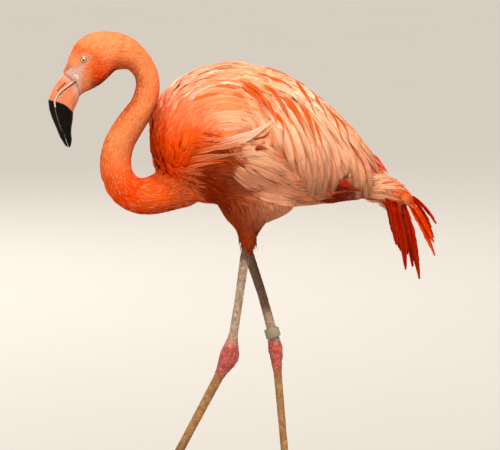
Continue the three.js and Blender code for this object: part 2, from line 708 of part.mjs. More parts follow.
const neckSteps = NECK.slice(1).map((row, i) => Math.hypot(row.x - NECK[i].x, row.z - NECK[i].z));
const neckLength = neckSteps.reduce((sum, step) => sum + step, 0);
const neckRoom = limbRoom(NECK, NECK_AROUND);
const wingRoom = [-1, 1].map((side) => sidePrism(grownOutline(WING_OUTLINE, GAP), side, GAP / 4)
  .add(sidePrism(grownOutline(PLUME_OUTLINE, GAP), side, GAP / 4)));
const tailBlock = blockBetween(new THREE.Vector3(TAIL_STARTS, -200, 300), new THREE.Vector3(400, 200, 800));
const plumeRidge = blockBetween(new THREE.Vector3(60, -GAP, 400), new THREE.Vector3(400, GAP, 800));
const bodyShell = [...wingRoom, plumeRidge.subtract(core)]
  .reduce((shell, room) => shell.subtract(room), trunkEnvelope);

add('trunk', mainBody(bodyShell.add(core).subtract(tailBlock).subtract(neckRoom)), COAT);
add('tail', mainBody(core.intersect(tailBlock.translate(GAP, 0, 0))), COAT);
for (const [name, [from, to]] of Object.entries(NECK_PARTS)) {
  const start = from > 0 ? from + GAP / neckLength : 0;
  add(name, solidOf(limb(stretch(NECK, start, to), NECK_AROUND)), COAT);
}
for (const [word, side] of [['left', -1], ['right', 1]]) {
  add(`${word}_wing`, foldedWing(WING_OUTLINE, side), COAT);
  add(`${word}_wing_plumes`, foldedWing(PLUME_OUTLINE, side), PALE_COAT);
}

const headRings = HEAD.map((row) => sectionRing(
  { x: row.tx, z: row.tz }, { x: row.cx, z: row.cz }, row.half, row.low,
));
const billRoom = mandible('u', 'upper', 0.75, GAP).add(mandible('k', 'lower', 0.55, GAP));
const frontOfFace = sidePrism(FACE_EDGE, -1, -WING_REACH / 2);
const head = solidOf(loft(headRings)).subtract(neckRoom).subtract(frontOfFace).subtract(billRoom)
  .subtract(eyeball(-1, GAP)).subtract(eyeball(1, GAP));
add('head', mainBody(head), COAT);
const upperBill = mandible('u', 'upper', 0.75);
add('upper_bill', upperBill.subtract(nostrilCutter(-1)).subtract(nostrilCutter(1)), BILL_HORN);
add('lower_bill', mandible('k', 'lower', 0.55), BILL_HORN);
add('left_eye', eyeball(-1), EYE_YELLOW);
add('right_eye', eyeball(1), EYE_YELLOW);

const bodyRoom = bodySolid(BODY, GAP);
for (const [word, leg] of Object.entries(LEGS)) {
  const { shank, ankle, tarsus } = legRows(leg);
  const [shankRoom, tarsusRoom] = [limbRoom(shank), limbRoom(tarsus)];
  add(`${word}_thigh`, mainBody(thighSolid(leg).subtract(bodyRoom).subtract(shankRoom)), COAT);
  add(`${word}_shank`, solidOf(limb(shank)), LEG_SKIN);
  add(`${word}_ankle`, mainBody(solidOf(limb(ankle)).subtract(shankRoom).subtract(tarsusRoom)), JOINT_SKIN);

  const pad = (grow) => {
    const ball = new THREE.SphereGeometry(TOE_PAD + grow, 8, 6);
    ball.translate(leg.toeJoint.x, leg.toeJoint.y, leg.toeJoint.z + 0.4);
    return solidOf(ball);
  };
  const toes = FRONT_TOES.map((toe) => toeRows(leg, toe));
  const webs = [0, 1].map((i) => webSolid(leg, FRONT_TOES[i], FRONT_TOES[i + 1]));
  const joined = (first, pieces) => pieces.reduce((sum, piece) => sum.add(piece), first);
  const foot = joined(pad(0), [...toes.map((rows) => solidOf(limb(rows, TOE_AROUND))), ...webs]);
  const toeRoom = joined(pad(GAP), toes.map((rows) => limbRoom(rows, TOE_AROUND)));
  const heel = hindToe(leg).subtract(toeRoom).subtract(tarsusRoom);
  add(`${word}_foot`, mainBody(foot.subtract(UNDER_FLOOR)), LEG_SKIN);
  add(`${word}_tarsus`, mainBody(solidOf(limb(tarsus)).subtract(toeRoom)), LEG_SKIN);
  add(`${word}_hind_toe`, mainBody(heel.subtract(UNDER_FLOOR)), LEG_SKIN);
  FRONT_TOES.forEach((toe, i) => add(`${word}_claw_${i + 1}`, mainBody(clawSolid(leg, toe)), CLAW_HORN));
}

TAIL_FEATHERS.forEach((feather, i) => {
  add(`tail_feather_${i + 1}`, mainBody(tailFeather(feather).subtract(coreRoom)), RED_COAT);
});
add('leg_band', legBand(LEGS.right), BAND_GREY);

// The origin is on the floor, under the middle of the whole bird.
const box = new THREE.Box3().setFromObject(bird);
bird.position.set(-(box.min.x + box.max.x) / 2, -(box.min.y + box.max.y) / 2, -box.min.z);

export default bird;
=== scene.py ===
"""A life-size Chilean flamingo in mid stride: skin, feathers, bill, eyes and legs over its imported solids."""
import json
import math
from functools import lru_cache

import bpy
import numpy as np
from bpy.props import FloatProperty, FloatVectorProperty, IntProperty, PointerProperty
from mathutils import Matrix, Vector
from mathutils.bvhtree import BVHTree

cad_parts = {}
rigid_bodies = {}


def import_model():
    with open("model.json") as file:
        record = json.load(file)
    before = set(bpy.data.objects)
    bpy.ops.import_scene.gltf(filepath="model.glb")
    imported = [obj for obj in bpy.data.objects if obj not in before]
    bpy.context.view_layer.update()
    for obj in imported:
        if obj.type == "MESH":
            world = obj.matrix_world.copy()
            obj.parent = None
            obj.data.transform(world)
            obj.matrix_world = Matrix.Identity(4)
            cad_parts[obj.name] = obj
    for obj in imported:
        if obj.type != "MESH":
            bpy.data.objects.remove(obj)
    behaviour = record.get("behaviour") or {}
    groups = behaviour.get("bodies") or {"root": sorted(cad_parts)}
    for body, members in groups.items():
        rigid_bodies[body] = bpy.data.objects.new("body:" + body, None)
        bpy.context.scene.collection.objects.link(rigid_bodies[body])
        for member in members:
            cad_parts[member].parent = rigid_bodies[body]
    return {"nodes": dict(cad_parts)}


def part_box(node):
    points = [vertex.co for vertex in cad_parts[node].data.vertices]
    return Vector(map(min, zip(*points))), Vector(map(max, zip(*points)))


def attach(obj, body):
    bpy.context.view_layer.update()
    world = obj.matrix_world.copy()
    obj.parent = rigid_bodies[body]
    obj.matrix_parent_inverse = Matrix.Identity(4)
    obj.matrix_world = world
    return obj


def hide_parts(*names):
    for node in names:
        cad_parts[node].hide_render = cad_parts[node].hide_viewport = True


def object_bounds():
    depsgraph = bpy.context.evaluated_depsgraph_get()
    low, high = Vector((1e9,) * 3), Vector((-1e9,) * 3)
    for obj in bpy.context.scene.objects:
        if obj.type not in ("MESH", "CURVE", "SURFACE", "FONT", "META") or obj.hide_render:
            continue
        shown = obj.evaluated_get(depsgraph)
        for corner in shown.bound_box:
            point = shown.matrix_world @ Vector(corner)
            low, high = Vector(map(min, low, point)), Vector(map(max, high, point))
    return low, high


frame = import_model()

bl_info = {
    "name": "Standing Flamingo",
    "version": (1, 0, 0),
    "blender": (4, 5, 0),
    "location": "3D View > Sidebar > Flamingo",
    "description": "Dresses the packed solids of a standing flamingo in skin, feathers, horn and scales",
    "category": "Mesh",
}

SEED = 20
MM = 0.001
SIDES = {"left": -1, "right": 1}
CAD_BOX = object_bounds()

STEPS = 14  # steps along a feather's path over the skin
BAKE_PATCH = 0.003  # width of one tuft's patch on the bake map
RUFF_FEATHERS, THIGH_FEATHERS, CUFF_FEATHERS = 110, 360, 70  # on each side
FAR_SHIFT = 0.011  # how far the far side's drawn feathers stray from the near side's, as a share
BLOCK = 20000  # places handled at once, to spare memory
MOST_TRIANGLES = 200000  # what each coat piece stays under
BODY_CELL, NECK_CELL, HORN_CELL, CLAW_CELL = 0.0021, 0.0018, 0.0009, 0.0005
LEVEL, BULK = 0.5, -0.52  # pull of one smoothing round, and the push that gives the bulk back

# ---------------------------------------------------------------- places from the frame

NECK_NODES = ("neck_lower", "neck_middle", "neck_upper")
WING_NODES = ("left_wing", "right_wing", "left_wing_plumes", "right_wing_plumes")
THIGH_NODES = ("left_thigh", "right_thigh")
BODY_NODES = ("trunk", "tail") + WING_NODES + THIGH_NODES
LEG_PARTS = ("shank", "ankle", "tarsus", "foot", "hind_toe")
CLAWS = (1, 2, 3)
TAIL_FEATHERS = tuple(f"tail_feather_{n}" for n in range(1, 8))

BODY, NECK, HEAD, THIGH = range(4)
REGION_OF = {node: BODY for node in BODY_NODES}
REGION_OF.update({node: NECK for node in NECK_NODES})
REGION_OF.update({node: THIGH for node in THIGH_NODES})
REGION_OF["head"] = HEAD

# How deep the coat lies over the skin, in millimetres, under each solid.
COAT_DEPTHS = {
    "trunk": 7, "tail": 6, "neck_lower": 4, "neck_middle": 2.4, "neck_upper": 2.2, "head": 1.3,
    "left_wing": 6, "right_wing": 6, "left_wing_plumes": 7, "right_wing_plumes": 7,
    "left_thigh": 5, "right_thigh": 5,
}


def corners_of(*nodes):
    """Lowest and highest corner of several CAD nodes together."""
    lows, highs = zip(*(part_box(node) for node in nodes))
    return np.min(lows, axis=0), np.max(highs, axis=0)


BODY_LOW, BODY_HIGH = corners_of("trunk", "tail", "left_wing_plumes")
BODY_SPAN = BODY_HIGH - BODY_LOW
EYE_LOW, EYE_HIGH = corners_of("right_eye")
EYE = (EYE_LOW + EYE_HIGH) / 2 + np.array([0.0013, 0, -0.0016])
EYE_RADIUS = float(EYE_HIGH[0] - EYE_LOW[0]) / 2


def on_body(u, v):
    """Side-view place (x, z) at share u of the body's length from the breast and v of its height."""
    return BODY_LOW[0] + u * BODY_SPAN[0], BODY_LOW[2] + v * BODY_SPAN[2]


def shares_of(places):
    """Share of the body's length and of its height at each place."""
    spots = (places - BODY_LOW) / BODY_SPAN
    return spots[..., 0], spots[..., 2]


# The middle of the neck's bend, from the breast to the back of the head, as x and z in metres.
NECK_LINE = (
    (-0.077, 0.497), (-0.107, 0.487), (-0.139, 0.477), (-0.163, 0.480), (-0.182, 0.497),
    (-0.189, 0.523), (-0.186, 0.547), (-0.177, 0.568), (-0.162, 0.591), (-0.148, 0.612),
    (-0.141, 0.635), (-0.141, 0.654), (-0.147, 0.669), (-0.158, 0.683), (-0.172, 0.690), (-0.183, 0.693),
)
SWIRL = on_body(0.27, 0.42)  # the back's feathers turn clockwise about this place
SOURCE = on_body(-0.07, 0.20)  # the breast's feathers fan out from this place
BODY_LINE = (on_body(0.02, 0.40), on_body(0.35, 0.50), on_body(0.70, 0.42), on_body(1.0, 0.13))
HEAD_LINE = ((-0.178, 0.692), (-0.215, 0.685), (-0.258, 0.650))
FACE_ROOT = np.array([-0.262, 0.0, 0.652])  # where the bill meets the face, in the mid plane


# ---------------------------------------------------------------- small sums


def smoothstep(low, high, values):
    share = np.clip((values - low) / (high - low), 0, 1)
    return share * share * (3 - 2 * share)


def unit(vectors):
    return vectors / np.maximum(np.linalg.norm(vectors, axis=-1, keepdims=True), 1e-9)


def mix(first, second, share):
    return first + (second - first) * share


def dot(first, second):
    return np.sum(first * second, axis=-1, keepdims=True)


def off_stroke(x, z, start, end):
    """Distance in the side view from a straight stroke between two places."""
    long_x, long_z = end[0] - start[0], end[1] - start[1]
    share = np.clip(((x - start[0]) * long_x + (z - start[1]) * long_z) / (long_x**2 + long_z**2), 0, 1)
    return np.hypot(x - start[0] - share * long_x, z - start[1] - share * long_z)


def linear(colour):
    """Linear light for a given colour, with parts from 0 to 1."""
    parts = np.asarray(colour, float)
    return np.where(parts <= 0.04045, parts / 12.92, ((parts + 0.055) / 1.055) ** 2.4)


def noise(places, size, salt=0):
    """Smooth random values from -1 to 1, the same each run, with bumps about `size` across."""
    spot = places / size + 17.3 * (salt + 1)
    base = np.floor(spot)
    part = spot - base
    part = part * part * (3 - 2 * part)
    total = np.zeros(len(places))
    for corner in range(8):
        step = np.array([(corner >> axis) & 1 for axis in range(3)])
        weight = np.prod(np.where(step, part, 1 - part), axis=1)
        total += weight * hashed(base + step, salt)
    return 2 * total - 1


def hashed(cells, salt):
    """A random share for each whole-number cell."""
    value = np.sin(cells @ np.array([12.9898, 78.233, 37.719]) + 4.1 * salt) * 43758.5453
    return value - np.floor(value)


def plates(places, size, salt=0):
    """Scale pattern: how near each place is to the border of its scale, and a random shade per scale."""
    spot = places / size
    base = np.floor(spot)
    first = np.full(len(places), 9.0)
    second = first.copy()
    shade = np.zeros(len(places))
    for step in np.ndindex(3, 3, 3):
        cell = base + np.array(step) - 1
        jitter = np.stack([hashed(cell, salt + axis) for axis in range(3)], axis=1)
        reach = np.linalg.norm(cell + 0.15 + 0.7 * jitter - spot, axis=1)
        closer = reach < first
        second = np.where(closer, first, np.minimum(second, reach))
        shade = np.where(closer, jitter[:, 0], shade)
        first = np.where(closer, reach, first)
    return 1 - smoothstep(0, 0.32, second - first), shade


class MidLine:
    """A bent line in an upright plane, along which a part of the body is measured."""

    def __init__(self, points, y=0.0, steps=14):
        ends = np.array(points, float)
        grown = []
        for i in range(len(ends) - 1):
            before, after = ends[max(i - 1, 0)], ends[min(i + 2, len(ends) - 1)]
            for t in np.arange(steps) / steps:
                slopes = (ends[i + 1] - before) / 2, (after - ends[i]) / 2
                rise = ends[i + 1] - ends[i]
                grown.append(ends[i] + slopes[0] * t + (3 * rise - 2 * slopes[0] - slopes[1]) * t**2
                             + (slopes[0] + slopes[1] - 2 * rise) * t**3)
        line = np.array(grown + [ends[-1]])
        self.line = np.stack([line[:, 0], np.full(len(line), y), line[:, 1]], axis=1)
        self.ways = unit(np.gradient(self.line, axis=0))
        reach = np.concatenate([[0], np.cumsum(np.linalg.norm(np.diff(self.line, axis=0), axis=1))])
        self.shares = reach / reach[-1]

    def locate(self, places):
        """Share along the line, angle round it and the line's own direction, at each place."""
        nearest = np.empty(len(places), int)
        for start in range(0, len(places), BLOCK):
            block = slice(start, start + BLOCK)
            nearest[block] = ((places[block, None] - self.line) ** 2).sum(2).argmin(1)
        away = places - self.line[nearest]
        ways = self.ways[nearest]
        lift = away[:, 2] * ways[:, 0] - away[:, 0] * ways[:, 2]
        return self.shares[nearest], np.arctan2(away[:, 1], lift), ways


# ---------------------------------------------------------------- meshes


def array_of(items, attribute, width, kind=np.float32):
    """One attribute of all items of a mesh, a row for each."""
    flat = np.empty(len(items) * width, kind)
    items.foreach_get(attribute, flat)
    return flat.reshape(-1, width)


def places_of(mesh):
    return array_of(mesh.vertices, "co", 3).astype(float)


def set_places(mesh, places):
    mesh.vertices.foreach_set("co", places.astype(np.float32).ravel())
    mesh.update()


def triangles_of(mesh):
    mesh.calc_loop_triangles()
    return array_of(mesh.loop_triangles, "vertices", 3, np.int32)


def edges_of(mesh):
    return array_of(mesh.edges, "vertices", 2, np.int32)


def normals_of(mesh):
    return array_of(mesh.vertex_normals, "vector", 3).astype(float)


def evened(values, edges, rounds, pull=LEVEL, push=0.0):
    """Values on vertices, each drawn towards the mean of its neighbours; a push keeps a shape's bulk."""
    values = np.array(values, float)
    flat = values.reshape(len(values), -1)
    count = len(flat)
    valence = np.maximum(np.bincount(edges.ravel(), minlength=count), 1)
    for _ in range(rounds):
        for factor in (pull, push) if push else (pull,):
            for column in range(flat.shape[1]):
                total = np.bincount(edges[:, 0], flat[edges[:, 1], column], count)
                total += np.bincount(edges[:, 1], flat[edges[:, 0], column], count)
                flat[:, column] += factor * (total / valence - flat[:, column])
    return flat.reshape(values.shape)


def paint(mesh, tones):
    """Stores one linear colour per vertex."""
    layer = mesh.color_attributes.new("tone", "FLOAT_COLOR", "POINT")
    layer.data.foreach_set("color", np.c_[tones, np.ones(len(tones))].astype(np.float32).ravel())
    mesh.color_attributes.active_color = layer


def new_piece(name, places, faces):
    """A mesh object at the origin from arrays of places and of faces with equal numbers of corners."""
    mesh = bpy.data.meshes.new(name)
    mesh.vertices.add(len(places))
    set_places(mesh, places)
    sides = faces.shape[1]
    mesh.loops.add(faces.size)
    mesh.loops.foreach_set("vertex_index", faces.ravel().astype(np.int32))
    mesh.polygons.add(len(faces))
    mesh.polygons.foreach_set("loop_start", np.arange(0, faces.size, sides, dtype=np.int32))
    mesh.polygons.foreach_set("use_smooth", np.ones(len(faces), bool))
    mesh.update(calc_edges=True)
    piece = bpy.data.objects.new(name, mesh)
    bpy.context.collection.objects.link(piece)
    return piece


def activate(*pieces):
    bpy.ops.object.select_all(action="DESELECT")
    for piece in pieces:
        piece.select_set(True)
    bpy.context.view_layer.objects.active = pieces[0]


def joined_copies(name, nodes):
    """One mesh of copies of CAD nodes, each closed again from its loose triangles."""
    copies = []
    for node in nodes:
        copy = bpy.data.objects.new(f"{name}_{node}", frame["nodes"][node].data.copy())
        bpy.context.collection.objects.link(copy)
        copies.append(copy)
    activate(*copies)
    if len(copies) > 1:
        bpy.ops.object.join()
    piece = copies[0]
    piece.name = piece.data.name = name
    piece.data.materials.clear()
    bpy.ops.object.mode_set(mode="EDIT")
    bpy.ops.mesh.select_all(action="SELECT")
    bpy.ops.mesh.remove_doubles(threshold=1e-6)
    bpy.ops.object.mode_set(mode="OBJECT")
    return piece


def remesh(piece, cell):
    """Rebuilds the piece as one closed shell of even cells and drops any shell inside it."""
    activate(piece)
    piece.data.remesh_voxel_size = cell
    bpy.ops.object.voxel_remesh()
    lowest = int(places_of(piece.data)[:, 0].argmin())
    bpy.ops.object.mode_set(mode="EDIT")
    bpy.ops.mesh.select_all(action="DESELECT")
    bpy.ops.object.mode_set(mode="OBJECT")
    piece.data.vertices[lowest].select = True
    bpy.ops.object.mode_set(mode="EDIT")
    bpy.ops.mesh.select_linked()
    bpy.ops.mesh.select_all(action="INVERT")
    bpy.ops.mesh.delete(type="VERT")
    bpy.ops.object.mode_set(mode="OBJECT")


def smooth_piece(piece, rounds):
    mesh = piece.data
    set_places(mesh, evened(places_of(mesh), edges_of(mesh), rounds, LEVEL, BULK))


def shell_of(name, nodes, cell, rounds):
    """One smooth closed shell round copies of CAD nodes."""
    piece = joined_copies(name, nodes)
    remesh(piece, cell)
    smooth_piece(piece, rounds)
    return piece


def refine(piece, near):
    """Splits the faces whose middles pass the test."""
    mesh = piece.data
    middles = places_of(mesh)[triangles_of(mesh)].mean(1)
    owner = array_of(mesh.loop_triangles, "polygon_index", 1, np.int32)[:, 0]
    chosen = np.zeros(len(mesh.polygons), bool)
    chosen[owner[near(middles)]] = True
    bpy.ops.object.mode_set(mode="EDIT")
    bpy.ops.mesh.select_mode(type="FACE")
    bpy.ops.mesh.select_all(action="DESELECT")
    bpy.ops.object.mode_set(mode="OBJECT")
    mesh.polygons.foreach_set("select", chosen)
    bpy.ops.object.mode_set(mode="EDIT")
    bpy.ops.mesh.subdivide(number_cuts=1)
    bpy.ops.mesh.select_all(action="DESELECT")
    bpy.ops.mesh.select_mode(type="VERT")
    bpy.ops.object.mode_set(mode="OBJECT")


def finish_piece(piece, material, replaced=()):
    """Gives a finished piece its material and its place in the model."""
    piece.data.materials.clear()
    piece.data.materials.append(material)
    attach(piece, "root")
    if replaced:
        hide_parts(*replaced)


def finish_smooth(piece, material, replaced):
    """Finishes a piece with smooth shading."""
    activate(piece)
    bpy.ops.object.shade_smooth()
    finish_piece(piece, material, replaced)


# ---------------------------------------------------------------- materials


def new_material(name, settings):
    """A node material with its shader's own values, and a Texture Coordinate node to build on."""
    material = bpy.data.materials.new(name)
    material.use_nodes = True
    nodes, links = material.node_tree.nodes, material.node_tree.links
    shader = nodes["Principled BSDF"]
    for socket, value in settings.items():
        shader.inputs[socket].default_value = value
    return material, nodes, links, shader, nodes.new("ShaderNodeTexCoord")


def surface(name, roughness, bump_size, bump_depth, variation=0.12, shade_size=0.02, specular=0.3):
    """A material that takes its colours from the mesh and adds uneven shade and fine relief."""
    settings = {"Roughness": roughness, "Specular IOR Level": specular}
    material, nodes, links, shader, place = new_material(name, settings)
    tone = nodes.new("ShaderNodeAttribute")
    tone.attribute_name = "tone"
    uneven = nodes.new("ShaderNodeTexNoise")
    uneven.inputs["Scale"].default_value = 1 / shade_size
    uneven.inputs["Detail"].default_value = 4
    spread = nodes.new("ShaderNodeMapRange")
    spread.inputs["To Min"].default_value = 1 - variation
    spread.inputs["To Max"].default_value = 1 + variation
    shaded = nodes.new("ShaderNodeVectorMath")
    shaded.operation = "MULTIPLY"
    grain = nodes.new("ShaderNodeTexNoise")
    grain.inputs["Scale"].default_value = 1 / bump_size
    grain.inputs["Detail"].default_value = 3
    bump = nodes.new("ShaderNodeBump")
    bump.inputs["Distance"].default_value = bump_depth
    bump.inputs["Strength"].default_value = 0.6
    links.new(place.outputs["Object"], uneven.inputs["Vector"])
    links.new(place.outputs["Object"], grain.inputs["Vector"])
    links.new(uneven.outputs["Fac"], spread.inputs["Value"])
    links.new(tone.outputs["Color"], shaded.inputs[0])
    links.new(spread.outputs["Result"], shaded.inputs[1])
    links.new(shaded.outputs["Vector"], shader.inputs["Base Color"])
    links.new(grain.outputs["Fac"], bump.inputs["Height"])
    links.new(bump.outputs["Normal"], shader.inputs["Normal"])
    return material


@lru_cache(maxsize=None)
def feather_finish():
    return surface("feather_barbs", 0.78, 0.0006, 0.0002, variation=0.07, shade_size=0.012, specular=0.02)


@lru_cache(maxsize=None)
def skin_finish():
    return surface("bare_skin", 0.55, 0.0009, 0.0003, variation=0.08, shade_size=0.006, specular=0.2)


@lru_cache(maxsize=None)
def horn_finish():
    return surface("bill_horn", 0.42, 0.0016, 0.00012, variation=0.06, shade_size=0.006, specular=0.09)


@lru_cache(maxsize=None)
def scale_finish():
    return surface("leg_scales", 0.5, 0.0008, 0.0002, variation=0.14, shade_size=0.004, specular=0.35)


def finish_coat(piece, replaced=()):
    finish_piece(piece, feather_finish(), replaced)


# ---------------------------------------------------------------- settings


def colour_setting(name, description, red, green, blue):
    return FloatVectorProperty(
        name=name, description=description, subtype="COLOR_GAMMA", size=3, min=0, max=1,
        default=(red / 255, green / 255, blue / 255))


class FlamingoTints(bpy.types.PropertyGroup):
    """Colours of the feathers and the bare parts."""

    cream: colour_setting("Cream", "Palest plume ends", 255, 222, 192)
    peach: colour_setting("Peach", "Pale feathers on the back", 252, 186, 140)
    shell: colour_setting("Shell", "Pinkish shade of the plumes and the flank", 236, 160, 118)
    salmon: colour_setting("Salmon", "Middle of the back and the coverts", 250, 148, 92)
    coral: colour_setting("Coral", "Neck and head", 253, 142, 82)
    orange: colour_setting("Orange", "Shoulders and plume stripes", 248, 94, 24)
    flame: colour_setting("Flame", "Base of the neck", 255, 70, 0)
    rust: colour_setting("Rust", "Shaded feathers of the belly and the thighs", 148, 50, 8)
    scarlet: colour_setting("Scarlet", "Tail feathers and the wing's red", 206, 30, 6)
    crimson: colour_setting("Crimson", "Deep red under the tail and at the breast", 116, 14, 0)
    blush: colour_setting("Blush", "Bare skin before the eye", 214, 162, 144)
    horn_pink: colour_setting("Horn pink", "Base of the bill", 222, 132, 92)
    horn_black: colour_setting("Horn black", "Tip of the bill and the claws", 14, 9, 6)
    iris: colour_setting("Iris", "The eye's pale yellow ring", 230, 160, 64)
    leg_tan: colour_setting("Leg tan", "Lower legs", 164, 116, 66)
    leg_grey: colour_setting("Leg grey", "Scales of the upper legs", 184, 152, 126)
    leg_dark: colour_setting("Leg dark", "Shaded scales", 112, 78, 56)
    joint_red: colour_setting("Joint red", "Ankles", 186, 84, 72)
    web_pink: colour_setting("Web pink", "Feet and their webs", 206, 138, 116)
    band_grey: colour_setting("Band grey", "The leg band", 150, 136, 112)


class FlamingoCoat(bpy.types.PropertyGroup):
    """Sizes and numbers of the feathers."""

    neck_tufts: IntProperty(name="Neck tufts", description="Small feathers on the neck", default=18000)
    neck_length: FloatProperty(name="Neck tuft length", description="Length of a neck feather",
                               default=0.0150, unit="LENGTH", subtype="DISTANCE")
    head_tufts: IntProperty(name="Head tufts", description="Small feathers on the head", default=9000)
    head_length: FloatProperty(name="Head tuft length", description="Length of a head feather",
                               default=0.0052, unit="LENGTH", subtype="DISTANCE")
    plumes: IntProperty(name="Plumes", description="Long plumes in each row on a wing", default=15)


class FlamingoStage(bpy.types.PropertyGroup):
    """Camera settings."""

    distance: FloatProperty(name="Camera distance", description="From the bird to the camera",
                            default=8.0, unit="LENGTH", subtype="DISTANCE")
    elevation: FloatProperty(name="Camera elevation", description="Above level",
                             default=math.radians(6), subtype="ANGLE", unit="ROTATION")
    view_width: FloatProperty(name="View width", description="Width of the view at the bird",
                              default=0.750, unit="LENGTH", subtype="DISTANCE")


def tints():
    return bpy.context.scene.flamingo_tints


def coat():
    return bpy.context.scene.flamingo_coat


def tint(name):
    return linear(getattr(tints(), name))


# ---------------------------------------------------------------- markings

# Feather colours on the body: share of its length and height, how far the colour reaches, and its tint.
# The rust marks low on the body and the crimson ones at the breast's front are partly painted shade under the
# body.
BODY_MARKS = (
    (0.25, 0.98, 0.16, 0.08, "peach"), (0.11, 0.87, 0.06, 0.09, "cream"),
    (0.21, 0.84, 0.08, 0.08, "salmon"), (0.15, 0.68, 0.07, 0.12, "orange"),
    (0.07, 0.50, 0.05, 0.20, "flame"), (0.01, 0.44, 0.03, 0.13, "crimson"),
    (0.07, 0.22, 0.10, 0.12, "flame"), (0.25, 0.30, 0.06, 0.08, "rust"),
    (0.29, 0.74, 0.09, 0.07, "salmon"), (0.32, 0.62, 0.10, 0.04, "peach"),
    (0.22, 0.50, 0.08, 0.07, "orange"), (0.31, 0.41, 0.06, 0.04, "rust"),
    (0.33, 0.35, 0.05, 0.04, "rust"), (0.47, 0.33, 0.09, 0.08, "shell"), (0.24, 0.12, 0.14, 0.10, "rust"),
    (0.36, 0.16, 0.08, 0.08, "rust"), (0.53, 0.13, 0.08, 0.07, "shell"),
    (0.43, 0.93, 0.08, 0.06, "peach"), (0.57, 0.67, 0.10, 0.12, "peach"),
    (0.57, 0.44, 0.08, 0.12, "shell"), (0.70, 0.60, 0.08, 0.12, "peach"),
    (0.68, 0.29, 0.08, 0.10, "shell"), (0.82, 0.40, 0.06, 0.10, "shell"),
    (0.72, 0.13, 0.08, 0.05, "crimson"), (0.89, 0.33, 0.03, 0.05, "scarlet"),
    (0.88, 0.22, 0.05, 0.05, "peach"), (0.97, 0.10, 0.04, 0.06, "orange"),
    (0.61, 0.80, 0.06, 0.05, "cream"), (0.20, 0.17, 0.04, 0.07, "crimson"),
    (0.14, 0.66, 0.05, 0.09, "orange"), (0.42, 0.41, 0.025, 0.05, "peach"),
)

# Head colours as offsets from the eye in millimetres (x, z), reach and tint.
# The rust marks low behind the jaw are partly painted shade under the head.
HEAD_MARKS = (
    (23, 36, 16, "salmon"), (46, 26, 16, "salmon"), (2, 25, 9, "coral"), (-12, 12, 4, "orange"),
    (-17, 8, 4, "coral"), (0, 12, 6, "orange"), (14, 4, 8, "orange"), (28, 14, 9, "coral"),
    (5, 5, 3.5, "salmon"), (8, -3, 3, "salmon"), (16, -12, 7, "orange"), (4, -16, 4, "coral"),
    (3, -25, 4, "coral"), (1, -35, 3.5, "coral"), (19, -22, 6, "flame"), (34, -12, 7, "orange"),
    (17, -36, 4, "rust"), (34, -30, 4, "rust"), (46, -20, 4, "rust"), (60, 4, 12, "orange"),
    (60, 24, 14, "coral"), (-20, -2, 5, "salmon"), (-21, -12, 2.2, "rust"),
)

# The neck's colours from the breast up to the head.
NECK_MARKS = (
    (0.0, "orange"), (0.22, "orange"), (0.30, "flame"), (0.38, "orange"), (0.56, "coral"), (1.0, "coral"),
)
NECK_BEND = np.array([-0.176, 0.0, 0.633])  # middle of the bend behind the head

# Strokes of bare skin on the face: two places in the side view and how far the skin reaches round them.
BARE_STROKES = (
    ((-0.2530, 0.6645), (-0.2445, 0.6590), 0.0062), ((-0.2438, 0.6630), (-0.2393, 0.6735), 0.0044),
    ((-0.2425, 0.6570), (-0.2428, 0.6350), 0.0032), ((-0.2590, 0.6600), (-0.2480, 0.6520), 0.0046),
)
LORE_SPOT = (-0.2590, 0.6700)


def weighed(marks, weights):
    total = sum(weight[:, None] * tint(mark[-1]) for mark, weight in zip(marks, weights))
    return total / sum(weights)[:, None]


def body_tone(places):
    u, v = shares_of(places)
    weights = [
        np.exp(-((u - a) / (2 * wide)) ** 2 - ((v - b) / (2 * tall)) ** 2) / (wide * tall) ** 0.5 + 1e-4
        for a, b, wide, tall, _ in BODY_MARKS
    ]
    return weighed(BODY_MARKS, [weight**1.5 for weight in weights])


def head_tone(places):
    x = (places[:, 0] - EYE[0]) / MM
    z = (places[:, 2] - EYE[2]) / MM
    weights = [
        np.exp(-((x - a) ** 2 + (z - b) ** 2) / (1.2 * reach**2)) + 1e-4 for a, b, reach, _ in HEAD_MARKS
    ]
    return weighed(HEAD_MARKS, weights)


def graded(values, marks):
    """Colour at each value between marks, each a value and the name of its tint."""
    stops = [stop for stop, _ in marks]
    colours = np.array([tint(name) for _, name in marks])
    return np.stack([np.interp(values, stops, colours[:, part]) for part in range(3)], axis=1)


def bareness(places, low=0.88, high=1.10):
    """1 on the bare skin before the eye and round it, 0 where feathers grow."""
    x, z = places[:, 0], places[:, 2]
    ragged = 0.20 * noise(places, 0.0022, 4)
    ring = np.hypot(x - EYE[0], z - EYE[2]) / 0.0064
    strokes = [off_stroke(x, z, start, end) / reach + ragged for start, end, reach in BARE_STROKES]
    on_head = (x < -0.21) & (z > 0.62)
    return (1 - smoothstep(low, high, np.min([ring, *strokes], axis=0))) * on_head


def bare_tone(places):
    """Pale wrinkled skin with painted shade in its creases, and a dark spot between it and the forehead."""
    # The creases follow the wrinkles' relief: painted shade in them and painted light on the folds.
    creases = 1 + 0.10 * noise(places * (1, 1, 1.8), 0.0022, 11) + 0.05 * noise(places, 0.0011, 12)
    spot = np.hypot(places[:, 0] - LORE_SPOT[0], places[:, 2] - LORE_SPOT[1])
    from_eye = np.hypot(places[:, 0] - EYE[0], places[:, 2] - EYE[2])
    tones = mix(tint("blush"), tint("cream"), 0.5 * smoothstep(0.1, 0.8, noise(places, 0.0045, 14))[:, None])
    tones = mix(tones, tint("peach"), (0.6 * (1 - smoothstep(0.0060, 0.0078, from_eye)))[:, None])
    tones = tones * creases[:, None]
    tones = mix(tones, tint("rust") * 0.5, (0.75 * (1 - smoothstep(0.0012, 0.0030, spot)))[:, None])
    rim = np.abs(from_eye - 0.0047)
    return mix(tones, tint("rust") * 0.4, (0.65 * (1 - smoothstep(0.0002, 0.0006, rim)))[:, None])


